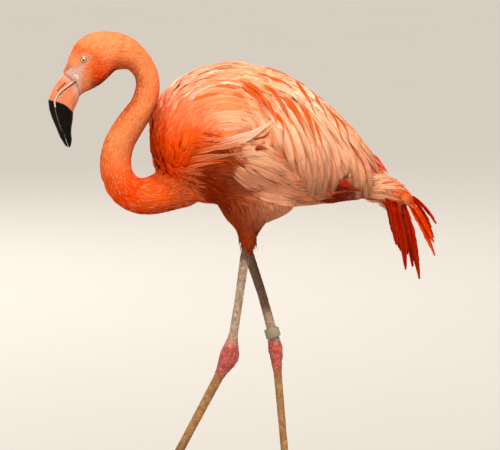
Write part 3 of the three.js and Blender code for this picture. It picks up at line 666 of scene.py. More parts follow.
def markings(places, region, along):
    """The animal's colours on its skin, with painted shade under body and head; the coat takes the same ones.
    """
    tones = np.zeros((len(places), 3))
    for kind, tone in ((BODY, body_tone), (HEAD, head_tone), (THIGH, body_tone)):
        here = region == kind
        tones[here] = tone(places[here])
    here = region == NECK
    tones[here] = graded(along[here], NECK_MARKS)
    return tones


# ---------------------------------------------------------------- lie of the feathers


def body_lay(places):
    """Direction of the feathers over the body: a swirl over the back, a fan over the breast."""
    x, z = places[:, 0] - SWIRL[0], places[:, 2] - SWIRL[1]
    swirl = np.arctan2(-x, z)
    swirl = np.where(x > 0, np.where(swirl > 0, -math.pi, swirl), swirl)
    swirl = np.maximum(swirl, math.radians(-84))
    fan = np.arctan2(places[:, 2] - SOURCE[1], np.maximum(places[:, 0] - SOURCE[0], 0.002))
    fan = np.maximum(mix(fan, math.radians(-10), smoothstep(-0.05, 0.06, x)), math.radians(-20))
    high = smoothstep(-0.04, 0.02, z + 0.8 * np.maximum(x - 0.135, 0))
    angle = mix(fan, swirl, high)
    tail = smoothstep(0.17, 0.215, places[:, 0])
    angle = mix(angle, math.radians(-32), tail)
    return np.stack([np.cos(angle), np.zeros(len(x)), np.sin(angle)], axis=1)


def lay_of(places, region, ways):
    """Direction of the feathers at places on the skin, before it is laid flat on it."""
    lay = body_lay(places)
    lay[region == NECK] = -ways[region == NECK]
    from_bill = unit(places - FACE_ROOT)
    back = np.array([0.75, 0, -0.2])
    lay[region == HEAD] = unit(from_bill + back * 0.35)[region == HEAD]
    lay[region == THIGH] = unit(np.array([[0.28, 0, -1.0]]))
    return lay


# ---------------------------------------------------------------- skin


@lru_cache(maxsize=None)
def cad_tree():
    """All the flesh solids in one search tree, with the node of each triangle."""
    places, faces, owners = [], [], []
    count = 0
    for number, node in enumerate(COAT_DEPTHS):
        mesh = frame["nodes"][node].data
        triangles = triangles_of(mesh)
        places.append(places_of(mesh))
        faces.append(triangles + count)
        owners.append(np.full(len(triangles), number))
        count += len(mesh.vertices)
    tree = BVHTree.FromPolygons(np.concatenate(places).tolist(), np.concatenate(faces).tolist())
    return tree, np.concatenate(owners)


def nearest_solid(places):
    """For each place the number of the nearest flesh solid, and how far off its surface is."""
    tree, owners = cad_tree()
    found = [tree.find_nearest(place) for place in places.tolist()]
    return owners[[hit[2] for hit in found]], np.array([hit[3] for hit in found])


def thickness(places, normals, faces):
    """How thick the shape is behind each place."""
    tree = BVHTree.FromPolygons(places.tolist(), faces.tolist())
    starts = (places - normals * 2e-4).tolist()
    hits = [tree.ray_cast(start, way) for start, way in zip(starts, (-normals).tolist())]
    return np.array([hit[3] if hit[3] is not None else 0.1 for hit in hits])


def sink(piece, tucked=0.0):
    """Draws a shell of flesh in by the coat's depth; the neck's lower end is tucked into the breast."""
    mesh = piece.data
    places, normals, edges = places_of(mesh), normals_of(mesh), edges_of(mesh)
    solids, _ = nearest_solid(places)
    depths = np.array(list(COAT_DEPTHS.values()))[solids] * MM
    depths = np.maximum(depths, tucked * smoothstep(-0.140, -0.085, places[:, 0]) * (places[:, 2] < 0.55))
    near_bill = np.linalg.norm((places - FACE_ROOT) * (1, 0.6, 1), axis=1)
    depths = np.minimum(depths, 0.06 * np.maximum(near_bill - 0.012, 0) - 0.0007)
    depths = np.minimum(depths, 0.36 * thickness(places, normals, triangles_of(mesh)))
    depths = evened(depths, edges, 24)
    above_legs = places[:, 2] - corners_of(*THIGH_NODES)[0][2]
    depths = np.minimum(depths, 0.0004 + 0.22 * np.maximum(above_legs, 0))
    normals = unit(evened(normals, edges, 4))
    set_places(mesh, places - normals * depths[:, None])


def shape_lids(piece):
    """Opens the skin over each eye, with a round lid that lies on the eyeball."""
    def around_eye(places, reach):
        away = np.hypot(places[:, 0] - EYE[0], places[:, 2] - EYE[2])
        return (away < reach) & (np.abs(places[:, 1]) > 0.008)

    refine(piece, lambda places: around_eye(places, 0.014) | (bareness(places) > 0.1))
    refine(piece, lambda places: around_eye(places, 0.0105) | (bareness(places) > 0.3))
    refine(piece, lambda places: around_eye(places, 0.0070))
    places = places_of(piece.data)
    x, z = places[:, 0] - EYE[0], places[:, 2] - EYE[2]
    reach = np.hypot(x, z)
    near = (reach < 0.0125) & (np.abs(places[:, 1]) > 0.006)
    opening, rim, blend = 0.0046, 0.0060, 0.0105
    snapped = near & (np.abs(reach - opening) < 0.00016)
    scale = np.where(snapped, opening / np.maximum(reach, 1e-6), 1)
    places[:, 0] = EYE[0] + x * scale
    places[:, 2] = EYE[2] + z * scale
    reach = reach * scale
    side = np.sign(places[:, 1])
    ball = EYE[1] + np.sqrt(np.maximum(EYE_RADIUS**2 - reach**2, 0))
    lid = ball + 0.0003 + 0.0005 * smoothstep(opening, 0.0054, reach)
    rim_height = EYE[1] + math.sqrt(EYE_RADIUS**2 - rim**2) + 0.0008
    outer = mix(rim_height, np.abs(places[:, 1]), smoothstep(rim, blend, reach))
    depth = np.where(reach < opening - 1e-5, EYE[1] - 0.001, np.where(reach < rim, lid, outer))
    places[near, 1] = (side * depth)[near]
    creased = np.minimum(bareness(places), smoothstep(0.0054, 0.0070, reach)) * (places[:, 0] < -0.2)
    creases = noise(places * (1, 1, 1.8), 0.0022, 11) + 0.5 * noise(places, 0.0011, 12)
    normals = normals_of(piece.data)
    set_places(piece.data, places + normals * (0.00022 * creased * creases)[:, None])


def make_skin():
    """The whole skin: body and neck are shelled and drawn in one by one, then run together."""
    piece = shell_of("skin", BODY_NODES + ("neck_lower",), BODY_CELL, 8)
    blend_body(piece)
    sink(piece)
    neck = shell_of("skin_neck", NECK_NODES + ("head", "left_eye", "right_eye"), NECK_CELL, 8)
    sink(neck, tucked=0.009)
    activate(piece, neck)
    bpy.ops.object.join()
    remesh(piece, BODY_CELL)
    smooth_piece(piece, 3)
    return piece


# Places in the side view where parts of the flesh run into each other, and how far round them to smooth.
JOINS = ((-0.105, 0.500, 0.066), (0.190, 0.500, 0.040), (0.235, 0.478, 0.026))


def blend_body(piece):
    """Softens the flesh of the body, most where the neck runs into the breast and the tail into the rump."""
    mesh = piece.data
    places, edges = places_of(mesh), edges_of(mesh)
    solids, _ = nearest_solid(places)
    body = np.array([REGION_OF[node] == BODY for node in COAT_DEPTHS])[solids]
    body = evened(body.astype(float), edges, 12)
    for _ in range(3):
        places = mix(places, evened(places, edges, 6, LEVEL, BULK), body[:, None])
    share = np.zeros(len(places))
    for x, z, reach in JOINS:
        gap = np.hypot(places[:, 0] - x, places[:, 2] - z)
        share = np.maximum(share, 1 - smoothstep(0.5 * reach, reach, gap))
    for _ in range(8):
        places = mix(places, evened(places, edges, 10), share[:, None])
    set_places(mesh, places)


class Skin:
    """The finished skin as arrays, with what the feathers on it need to know."""

    def __init__(self, piece):
        mesh = piece.data
        self.places, self.normals = places_of(mesh), normals_of(mesh)
        self.faces, self.edges = triangles_of(mesh), edges_of(mesh)
        solids, room = nearest_solid(self.places)
        regions = np.array([REGION_OF[node] for node in COAT_DEPTHS])
        self.region = regions[solids]
        self.room = evened(room, self.edges, 6)
        self.along, _, ways = MidLine(NECK_LINE).locate(self.places)
        lay = lay_of(self.places, self.region, ways)
        lay = unit(lay - self.normals * dot(lay, self.normals))
        lay = evened(lay, self.edges, 14)
        self.lay = unit(lay - self.normals * dot(lay, self.normals))
        tone = evened(markings(self.places, self.region, self.along), self.edges, 10)
        # Painted shade, partly the throat's deeper red: neck and head darken facing down and inside the bend.
        facing = evened(self.normals, self.edges, 6)
        to_bend = (NECK_BEND - self.places) * (1, 0, 1)
        near_bend = 1 - smoothstep(0.038, 0.070, np.linalg.norm(to_bend, axis=1))
        inside = smoothstep(0.0, 0.95, dot(facing, unit(to_bend))[:, 0]) * near_bend
        below = np.maximum(smoothstep(0.3, 1.0, -facing[:, 2]), 0.8 * inside)
        below = (below * np.isin(self.region, (NECK, HEAD)))[:, None]
        tone = tone * mix(np.ones(3), np.array([0.52, 0.20, 0.07]), below)
        fringe = 0.5 * bareness(self.places, 0.95, 1.8) * (self.region == HEAD)
        self.tone = mix(tone, tint("blush"), fringe[:, None])
        self.bare = bareness(self.places) * (self.region == HEAD)
        a, b, c = self.places[self.faces].transpose(1, 0, 2)
        self.areas = np.linalg.norm(np.cross(b - a, c - a), axis=1) / 2
        self.build_field()

    def build_field(self, cell=0.003, band=6):
        """Distance from the skin and its slope on a grid, so that many feathers follow it at once."""
        tree = self.tree = BVHTree.FromPolygons(self.places.tolist(), self.faces.tolist())
        margin = (band + 2) * cell
        self.cell = cell
        self.origin = self.places.min(0) - margin
        shape = np.ceil((self.places.max(0) + margin - self.origin) / cell).astype(int) + 1
        near = np.zeros(shape, bool)
        near[tuple(np.round((self.places - self.origin) / cell).astype(int).T)] = True
        for _ in range(band):
            grown = near.copy()
            for axis in range(3):
                grown |= np.roll(near, 1, axis) | np.roll(near, -1, axis)
            near = grown
        distance = np.full(shape, band * cell, np.float32)
        spots = np.argwhere(near)
        values, faces = [], []
        for place in (self.origin + spots * cell).tolist():
            hit, normal, face, gap = tree.find_nearest(place)
            x, y, z = place
            inside = (x - hit.x) * normal.x + (y - hit.y) * normal.y + (z - hit.z) * normal.z < 0
            values.append(-gap if inside else gap)
            faces.append(face)
        distance[tuple(spots.T)] = values
        room = np.zeros(shape, np.float32)
        room[tuple(spots.T)] = self.room[self.faces[faces, 0]]
        slopes = np.gradient(distance, cell)
        self.field = np.stack([distance, *slopes, room], axis=3).astype(np.float32)

    def sample(self, places):
        spot = (places - self.origin) / self.cell
        base = np.clip(np.floor(spot).astype(int), 0, np.array(self.field.shape[:3]) - 2)
        part = spot - base
        total = np.zeros((len(places), 5))
        for corner in range(8):
            step = np.array([(corner >> axis) & 1 for axis in range(3)])
            weight = np.prod(np.where(step, part, 1 - part), axis=1)
            total += weight[:, None] * self.field[tuple((base + step).T)]
        return total

    def settle(self, places):
        """Nearest places on the skin, the normals there and the room for the coat over them."""
        for _ in range(2):
            found = self.sample(places)
            normals = unit(found[:, 1:4])
            places = places - normals * found[:, :1]
        return places, normals, found[:, 4:]

    def scatter(self, count, chance, rng):
        """Roots spread at random over the skin where `chance` per vertex allows."""
        weight = self.areas * chance[self.faces].mean(1)
        picks = rng.choice(len(self.faces), count, p=weight / weight.sum())
        first, second = rng.random((2, count))
        fold = first + second > 1
        first, second = np.where(fold, 1 - first, first), np.where(fold, 1 - second, second)
        shares = np.stack([1 - first - second, first, second], axis=1)[:, :, None]
        vertices = self.faces[picks]

        def at(values):
            return (values[vertices].reshape(count, 3, -1) * shares).sum(1)

        return {
            "place": at(self.places), "lay": unit(at(self.lay)), "along": at(self.along)[:, 0],
            "tone": at(self.tone),
        }

    def seen(self, x, z, sign):
        """Place, normal and face of the skin at a place in the side view, or the nearest ones outside it."""
        place, normal, face, _ = self.tree.ray_cast((x, sign * 0.3, z), (0, -sign, 0))
        if place is None:
            place, normal, face, _ = self.tree.find_nearest((x, 0, z))
        return place, normal, face

    def rooted(self, x, z, sign):
        """Places on one side of the body's skin, from places in the side view."""
        return np.array([self.seen(a, b, sign)[0] for a, b in zip(x, z)])


@lru_cache(maxsize=None)
def the_skin():
    return Skin(bpy.data.objects["skin"])


# ---------------------------------------------------------------- feathers


def turned(ways, normals, angles):
    """Directions turned about the normals."""
    return ways * np.cos(angles)[:, None] + np.cross(normals, ways) * np.sin(angles)[:, None]


def paths(roots, lengths, yaw, steps=STEPS, follow=0.0, lay=body_lay, free=1.0, sag=0.0):
    """Lines of even steps over the skin, from root to tip: places, normals, sideways directions and room.

    Past the share `free` of its length a feather no longer touches the skin, and sags a little each step."""
    skin = the_skin()
    places, normals, room = skin.settle(roots["place"])
    way = turned(roots["lay"], normals, yaw)
    rows = []
    for step in range(steps + 1):
        way = unit(way - normals * dot(way, normals))
        rows.append((places, normals, unit(np.cross(way, normals)), room))
        if follow:
            way = unit(mix(way, lay(places), follow))
        if step < free * steps:
            places, normals, room = skin.settle(places + way * (lengths / steps)[:, None])
        else:
            way = unit(way - np.array([0, 0, sag]))
            places = places + way * (lengths / steps)[:, None]
    return [np.stack(values, axis=1) for values in zip(*rows)]


def along_rows(rows, shares):
    """Values between rows (feather, row, part) at shares (feather, strand, ring) of their length."""
    last = rows.shape[1] - 1
    spot = np.clip(shares, 0, 1) * last
    base = np.minimum(spot.astype(int), last - 1)
    part = (spot - base)[..., None]
    feather = np.arange(len(rows))[:, None, None]
    return rows[feather, base] * (1 - part) + rows[feather, base + 1] * part


def face_normals(places, faces):
    corners = places[faces]
    return unit(np.cross(corners[:, 1] - corners[:, 0], corners[:, 2] - corners[:, 0]))


def strand_faces(rings):
    """Triangles of one closed strand: rings of three corners and a tip."""
    faces = [(0, 2, 1)]
    for ring in range(rings - 1):
        for corner in range(3):
            a, b = ring * 3 + corner, ring * 3 + (corner + 1) % 3
            faces += [(a, b, b + 3), (a, b + 3, a + 3)]
    end = (rings - 1) * 3
    faces += [(end + corner, end + (corner + 1) % 3, rings * 3) for corner in range(3)]
    return np.array(faces)


def strand_mesh(name, centres, across, ups, halves, thick, tones, unwrap, calm=0.6):
    """Closed thin strands (strand, ring, part) that run to a point, as one mesh with its bake map.

    Their shading leans towards the surface they lie on by the share `calm`, as soft barbs let light
    through."""
    count, rings = centres.shape[0], centres.shape[1] - 1
    body, wide = centres[:, :-1], across[:, :-1] * halves[:, :-1, None]
    ridge = body + ups[:, :-1] * thick[:, :-1, None]
    ring_points = np.stack([body - wide, ridge, body + wide], axis=2).reshape(count, rings * 3, 3)
    points = np.concatenate([ring_points, centres[:, -1:]], axis=1)
    size = rings * 3 + 1
    pattern = strand_faces(rings)
    faces = (pattern[None] + (np.arange(count) * size)[:, None, None]).reshape(-1, 3)
    a, b, c = (points[0][pattern] - points[0, 0]).transpose(1, 0, 2)
    if np.sum(np.cross(a, b) * c) < 0:
        faces = faces[:, ::-1]
    piece = new_piece(name, points.reshape(-1, 3), faces)
    outward = np.concatenate([np.repeat(ups[:, :-1], 3, axis=1), ups[:, -1:]], axis=1).reshape(-1, 3)
    flat = face_normals(points.reshape(-1, 3), faces)
    upper = dot(flat, outward[faces[:, 0]])[..., None] > 0
    soft = unit(mix(normals_of(piece.data), outward, calm))[faces]
    piece.data.normals_split_custom_set(np.where(upper, soft, flat[:, None]).reshape(-1, 3))
    # Painted light and shade on each ring: the ridge corner lighter, the side corners darker.
    painted_ridge_shading = np.array([0.93, 1.05, 0.93])
    ring_tones = (tones[:, :-1, None] * painted_ridge_shading[None, None, :, None]).reshape(count, rings * 3, 3)
    colours = np.concatenate([ring_tones, tones[:, -1:]], axis=1).reshape(-1, 3)
    paint(piece.data, np.clip(colours, 0, 0.97))
    rise = np.repeat(np.linspace(0, 1, rings + 1), 3)[: size] - 0.5
    sway = np.append(np.tile([-0.5, 0.0, 0.5], rings), 0.0)
    spots = unwrap[:, None] + BAKE_PATCH * np.stack([rise, sway], axis=1)[None]
    layer = piece.data.uv_layers.new(name="OFBake")
    layer.data.foreach_set("uv", spots.reshape(-1, 2)[faces.ravel()].astype(np.float32).ravel())
    if len(faces) >= MOST_TRIANGLES:
        raise RuntimeError(f"{name} has {len(faces)} triangles; a coat piece stays under {MOST_TRIANGLES}")
    return piece


def unwrapped(places, line):
    """Each place on an unwrap of the skin: along its middle line one way, round it the other."""
    share, angle, _ = line.locate(places)
    spots = np.stack([share, angle / (2 * math.pi)], axis=1)
    low, high = spots.min(0), spots.max(0)
    return 0.01 + 0.98 * (spots - low) / (high - low)


def tufts(name, roots, length, half, rings, rise, rng, line, stray=0.10, vary=0.06):
    """Small single-strand feathers on the head and neck."""
    count = len(roots["place"])
    lengths = length * rng.uniform(0.75, 1.2, count)
    places, normals, across, rooms = paths(roots, lengths, rng.normal(0, stray, count), steps=rings)
    shares = np.linspace(0, 1, rings + 1)[None]
    lift = rooms[..., 0] * rise * (0.15 + 0.85 * shares**0.8) * rng.uniform(0.85, 1.0, count)[:, None]
    centres = places + normals * lift[..., None]
    profile = np.interp(shares, (0, 0.3, 0.7, 1), (0.7, 1.0, 0.85, 0.1))
    halves = half * rng.uniform(0.8, 1.2, count)[:, None] * profile
    roll = rng.normal(0, 0.06, count)
    sides = across * np.cos(roll)[:, None, None] + normals * np.sin(roll)[:, None, None]
    streak = 1 + rng.normal(0, vary, count) + 0.05 * noise(roots["place"], 0.010, 1)
    pale = rng.random(count)[:, None] < 0.16
    base = np.where(pale, mix(roots["tone"], tint("peach"), 0.35), roots["tone"]) * streak[:, None]
    fade = np.linspace(0.94, 1.04, rings + 1)[None, :, None]
    tones = base[:, None] * np.concatenate([fade, fade**1.5, fade**2], axis=2)
    spots = unwrapped(roots["place"], line)
    return strand_mesh(name, centres, sides, normals, halves, halves * 0.3, tones, spots, calm=0.75)


def locks(name, rows, half, strands, rings, rng, line, rise=0.9, lifted=0.0, drop=0.0, fray=0.18, taper=0.8,
          fan=(0.35, 0.9, 1.0), pack=1.5, tuck=0.12, end=None, tone_of=None, **tone_settings):
    """Feathers made of several strands that part towards the tip."""
    rows, ups, sides, rooms = rows
    count = len(rows)
    places = np.linspace(-1, 1, strands)[None] + rng.normal(0, 0.4 / strands, (count, strands))
    ends = 1 - fray * np.abs(places) ** 2.5 - rng.uniform(0, fray, (count, strands))
    if end is not None:
        ends = ends * np.minimum(1, end(rows) + rng.uniform(-0.03, 0.05, count))[:, None]
    starts = rng.uniform(0, 0.10, (count, strands)) * ends
    ring = np.linspace(0, 1, rings + 1)[None, None]
    shares = starts[..., None] + (ends - starts)[..., None] * ring
    centre, up, side, room = (along_rows(values, shares) for values in (rows, ups, sides, rooms))
    widths = (half * rng.uniform(0.85, 1.15, count))[:, None, None]
    spread = np.interp(ring, (0, 0.3, 0.65, 1), (*fan, taper))
    offset = places[..., None] * widths * spread
    height = room[..., 0] * rise * rng.uniform(0.85, 1.0, (count, 1, 1)) + lifted
    lift = height * (tuck + (1 - tuck) * ring**0.6) * (1 - drop * smoothstep(0.6, 1.0, ring))
    lift = lift - 0.16 * np.abs(offset) * np.abs(places[..., None])
    lift = lift + rng.normal(0, 0.00015, (count, strands))[..., None]
    centre = centre + side * offset[..., None] + up * lift[..., None]
    profile = np.interp(ring, (0, 0.25, 0.7, 1), (0.6, 1.0, 0.8, 0.08)) * np.maximum(spread, 0.3) ** 0.5
    halves = widths / strands * pack * profile * np.ones((count, strands, 1))
    roll = rng.normal(0, 0.12, (count, strands))[..., None, None] + 0.22 * places[..., None, None]
    across = side * np.cos(roll) - up * np.sin(roll)
    flat = (count * strands, rings + 1)
    tone = (tone_of or body_tones)(centre, places, ring, rng, **tone_settings)
    spots = np.repeat(unwrapped(rows[:, 0], line), strands, axis=0)
    return strand_mesh(name, centre.reshape(*flat, 3), across.reshape(*flat, 3), up.reshape(*flat, 3),
                       halves.reshape(flat), halves.reshape(flat) * 0.35, tone.reshape(*flat, 3), spots)


def grown(roots, length, rng, stray=0.06, **way_settings):
    """Feather lines over the skin from scattered roots, shorter towards the neck."""
    count = len(roots["place"])
    size = mix(0.5, 1.0, smoothstep(-0.145, -0.065, roots["place"][:, 0]))
    lengths = length * size * rng.uniform(0.85, 1.15, count)
    return paths(roots, lengths, rng.normal(0, stray, count), **way_settings)


def drawn(curves, side, overhang=False):
    """Feather lines over one side of the body, each through three places in the side view.

    Past the skin's outline they keep to its edge, or go on in the air if they may overhang it."""
    skin = the_skin()
    sign = SIDES[side]
    curves = np.array(curves) / 100
    if side == "right":
        curves = curves + np.random.default_rng(SEED + 7).normal(0, FAR_SHIFT, (len(curves), 1, 2))
    root, middle, tip = curves.transpose(1, 0, 2)[:, :, None]
    share = np.linspace(0, 1, STEPS + 1)[None, :, None]
    bend = 2 * middle - (root + tip) / 2
    spots = (1 - share) ** 2 * root + 2 * share * (1 - share) * bend + share**2 * tip
    x, z = on_body(spots[..., 0], spots[..., 1])
    places = np.zeros((*x.shape, 3))
    normals = np.zeros_like(places)
    rooms = np.zeros((*x.shape, 1))
    for spot in np.ndindex(x.shape):
        place, normal, face = skin.seen(x[spot], z[spot], sign)
        places[spot] = (x[spot], place.y, z[spot]) if overhang else place
        in_air = overhang and math.hypot(x[spot] - place.x, z[spot] - place.z) > MM
        normals[spot] = unit(np.array(normal) + np.array([0, 2.5 * sign, 0])) if in_air else normal
        rooms[spot] = skin.room[skin.faces[face, 0]]
    normals = unit(normals + np.array([0, 0.4 * sign, 0]))
    ways = unit(np.gradient(places, axis=1))
    return places, normals, unit(np.cross(ways, normals)), rooms


def body_tones(centre, places, ring, rng, vary=0.06, pale=0.10, rim=None, rim_share=0.0, root=0.72, own=0.45,
               flush=0.0, under=0.0):
    """The markings at each ring, deeper at the root, with light and dark strands and a paler rim."""
    count, strands, _, _ = centre.shape
    spots = mix(centre, centre[:, :, :1], own)
    tones = body_tone(spots.reshape(-1, 3)).reshape(centre.shape)
    feather = 1 + rng.normal(0, vary, (count, 1, 1, 1))
    strand = 1 + rng.normal(0, vary * 0.7, (count, strands, 1, 1))
    flushed = rng.random((count, 1, 1, 1)) < flush
    tones = np.where(flushed, mix(tones, tint("orange"), 0.5), tones)
    if under:
        u, _ = shares_of(spots)
        tones = mix(tones, tint("orange"), under * smoothstep(0.36, 0.46, u)[..., None])
    light = rng.random((count, strands, 1, 1)) < pale
    tones = np.where(light, mix(tones, tones**0.75, 0.6), tones)
    share = ring[..., None]
    if rim:
        outer = smoothstep(0.35, 1.0, np.abs(places))[..., None, None]
        near_tip = smoothstep(0.45, 1.0, share)
        tones = mix(tones, tint(rim), rim_share * np.maximum(outer, near_tip))
    deep = np.array([root, root**1.6, root**2.2])
    return tones * feather * strand * mix(deep, np.ones(3), smoothstep(0.0, 0.6, share))


def region_chance(kind, side=None, where=None):
    """Chance of a root at each skin vertex of a region, on one side of the body, where the test allows."""
    skin = the_skin()
    chance = np.isin(skin.region, kind) * (1.0 - skin.bare)
    if side:
        chance = chance * (skin.places[:, 1] * SIDES[side] >= 0)
    if where:
        chance = chance * where(*shares_of(skin.places))
    return chance


def make_neck_coat():
    rng = np.random.default_rng(SEED + 1)
    line = MidLine(NECK_LINE)
    total = coat().neck_tufts
    along = the_skin().along
    for name, low, high, share in (("lower", -1, 0.5, 0.55), ("upper", 0.5, 2, 0.45)):
        chance = region_chance(NECK) * (along >= low) * (along < high)
        roots = the_skin().scatter(int(total * share), chance, rng)
        longer = mix(1.5, 1.0, smoothstep(0.05, 0.35, roots["along"]))
        piece = tufts(f"coat_neck_{name}", roots, coat().neck_length * longer, 0.0007 * longer[:, None], 3,
                      0.95, rng, line, stray=0.045)
        finish_coat(piece)


def make_head_coat():
    rng = np.random.default_rng(SEED + 2)
    roots = the_skin().scatter(coat().head_tufts, region_chance(HEAD), rng)
    near_bill = np.linalg.norm(roots["place"] - FACE_ROOT, axis=1)
    size = mix(0.32, 1.0, smoothstep(0.012, 0.05, near_bill))
    piece = tufts("coat_head", roots, coat().head_length * size, 0.0006 * size[:, None], 3, 0.9, rng,
                  MidLine(HEAD_LINE), vary=0.045, stray=0.07)
    finish_coat(piece)


# Line of the back's ridge: shares of the body's length and height.
RIDGE = ((0.30, 1.0), (0.50, 0.95), (0.68, 0.79), (0.88, 0.42))


def ridge_height(u):
    """Share of the body's height at its ridge."""
    return np.interp(u, *zip(*RIDGE))


def on_mantle(u, v):
    return (u > 0.03) & (u < 0.48) & (v > 0.44 + 0.9 * np.maximum(u - 0.27, 0))


# Layers of feathers scattered over each side of the body, from the skin outwards. Sizes are in metres.
LAYERS = {
    "down": dict(
        where=lambda u, v: u < 2, count=1000, length=0.028, half=0.0046, strands=4, rings=3, rise=0.62,
        root=0.82, under=0.55),
    "belly": dict(
        where=lambda u, v: (v < 0.42) & (u > 0.10), count=560, length=0.034, half=0.0036, strands=5, rings=4,
        rise=0.8, root=0.85),
    "breast": dict(
        where=lambda u, v: (u < 0.26) & (v < 0.80), count=460, length=0.036, half=0.0034, strands=5, rings=4,
        rise=0.9, lifted=0.0005, root=0.8),
    "mantle": dict(
        where=on_mantle, count=500, length=0.054, half=0.0032, strands=5, rings=6, rise=0.95, lifted=0.0004,
        drop=0.35, follow=0.4, stray=0.05, rim="cream", rim_share=0.18, fray=0.25, vary=0.08, root=0.90,
        flush=0.32),
    "ridge": dict(
        where=lambda u, v: (u > 0.12) & (u < 0.86) & (v > ridge_height(u) - 0.13), count=360, length=0.048,
        half=0.0034, strands=5, rings=5, rise=0.96, lifted=0.0030, drop=0.2, follow=0.5, stray=0.04,
        fray=0.25, root=0.96, flush=0.22),
    "front": dict(
        where=lambda u, v: (u < 0.06) & (v > 0.36) & (v < 0.88), count=90, length=0.036, half=0.0030,
        strands=5, rings=4, rise=1.0, lifted=0.0030, drop=0.5, fray=0.25, root=0.9, vary=0.04, pale=0.05),
    "rump": dict(
        where=lambda u, v: u > 0.84, count=170, length=0.034, half=0.0040, strands=6, rings=4, rise=0.9,
        lifted=0.001, fray=0.3, free=0.8, sag=0.02),
}


def make_body_coat():
    """Scattered feathers, layer by layer."""
    line = MidLine(BODY_LINE)
    for number, (layer, sizes) in enumerate(LAYERS.items()):
        sizes = dict(sizes)
        where, count, length = (sizes.pop(name) for name in ("where", "count", "length"))
        ways = {name: sizes.pop(name) for name in ("stray", "follow", "free", "sag") if name in sizes}
        for side in SIDES:
            rng = np.random.default_rng(SEED + 10 + number)
            roots = the_skin().scatter(count, region_chance(BODY, side, where), rng)
            rows = grown(roots, length, rng, **{"follow": 0.3, **ways})
            piece = locks(f"coat_{layer}_{side}", rows, rng=rng, line=line, **sizes)
            finish_coat(piece)


def make_ruff():
    """Pale-tipped feathers that end the neck's bright base over the darker breast."""
    line = MidLine(BODY_LINE)
    for side in SIDES:
        rng = np.random.default_rng(SEED + 20)
        chance = region_chance((BODY, NECK), side, lambda u, v: (u > 0.08) * (u < 0.16) * (v < 0.31))
        roots = the_skin().scatter(RUFF_FEATHERS, chance, rng)
        roots["lay"] = np.tile([[1.0, 0.0, -0.05]], (RUFF_FEATHERS, 1))
        rows = grown(roots, 0.034, rng, stray=0.12, follow=0.1)
        piece = locks(f"coat_ruff_{side}", rows, 0.0022, 5, 4, rng, line, rise=0.9, lifted=0.0012, fray=0.3,
                      taper=0.3, own=0.85, rim="salmon", rim_share=0.6, root=0.9)
        finish_coat(piece)


# Large feathers drawn one by one: places of the root, the middle and the tip in percent of the body's
# length and height, half width in millimetres, and tint.
COVERTS = (
    ((13, 72), (27.5, 80), (40.5, 75), 8, "salmon"),
    ((12, 66), (27, 75.5), (42, 70.5), 8, "coral"),
    ((15.5, 64.5), (29, 72), (43, 65.5), 8, "salmon"),
    ((17, 60), (30.5, 65.5), (43.5, 62), 8, "peach"),
    ((17.5, 55), (30.5, 59.5), (42.5, 56.5), 7, "shell"),
    ((18, 51), (30, 55), (40, 54), 6, "coral"),
    ((17, 46.5), (29, 50), (39, 52), 5, "salmon"),
)
UNDER_SCAPULARS = (
    ((16, 40), (27, 45), (42, 46.5), 3.6, "salmon"),
    ((18, 37), (29, 40.5), (40.5, 44), 3.2, "shell"),
    ((14, 35), (24.5, 40), (39, 40.5), 3.4, "coral"),
    ((13, 32), (23, 36.5), (36.5, 37.5), 2.8, "orange"),
    ((12.5, 29), (21.5, 34.5), (31.5, 36.5), 2.4, "coral"),
    ((21, 43), (31.5, 47.5), (42.5, 48), 3, "peach"),
    # A thin rust feather: painted shade under the coverts' lower edge.
    ((19, 55), (25.5, 53), (33, 52), 1.3, "rust"),
    ((17, 51.5), (25.5, 50.5), (34.5, 51.5), 2.6, "coral"),
    ((15.5, 48), (24, 47), (33, 48.5), 2.8, "orange"),
    # A thin rust feather: painted shade between the flank's feather groups.
    ((37.5, 32.5), (41.5, 28.5), (45, 24), 1.6, "rust"),
)
SCAPULARS = (
    ((19, 45), (34.5, 50.5), (49, 65), 7.5, "cream"),
)
# The hollow behind the shoulder's last feather, with a spot of the red beneath.
HOLLOW_FEATHERS = (
    ((38, 48), (43, 50), (47, 54.5), 4, "shell"),
    # Painted shade: this rust feather and the group's dark roots darken the hollow.
    ((38.5, 49), (43, 52), (47, 57.5), 4, "rust"),
    ((39, 50), (43, 53.5), (47, 60.5), 4, "shell"),
    ((40, 45), (43, 45.5), (46, 43), 2.4, "scarlet"),
    ((40, 43.5), (43, 44.5), (45, 42.5), 2, "crimson"),
)
# Feathers down the front of the breast, behind the neck.
FRONT_FEATHERS = (
    # Painted shade, partly the breast's own deep red: this crimson one darkens the breast's lower front edge.
    ((0.5, 50), (1, 57), (1.5, 63.5), 3.5, "crimson"),
    ((0.5, 55), (1, 62), (2.5, 69), 3.5, "orange"),
    ((1, 60), (2, 67), (4, 73.5), 3.5, "salmon"),
    ((2, 65), (3.5, 72), (5.5, 78.5), 3.5, "salmon"),
    ((3, 70), (5, 76.5), (7.5, 83), 3.5, "peach"),
)
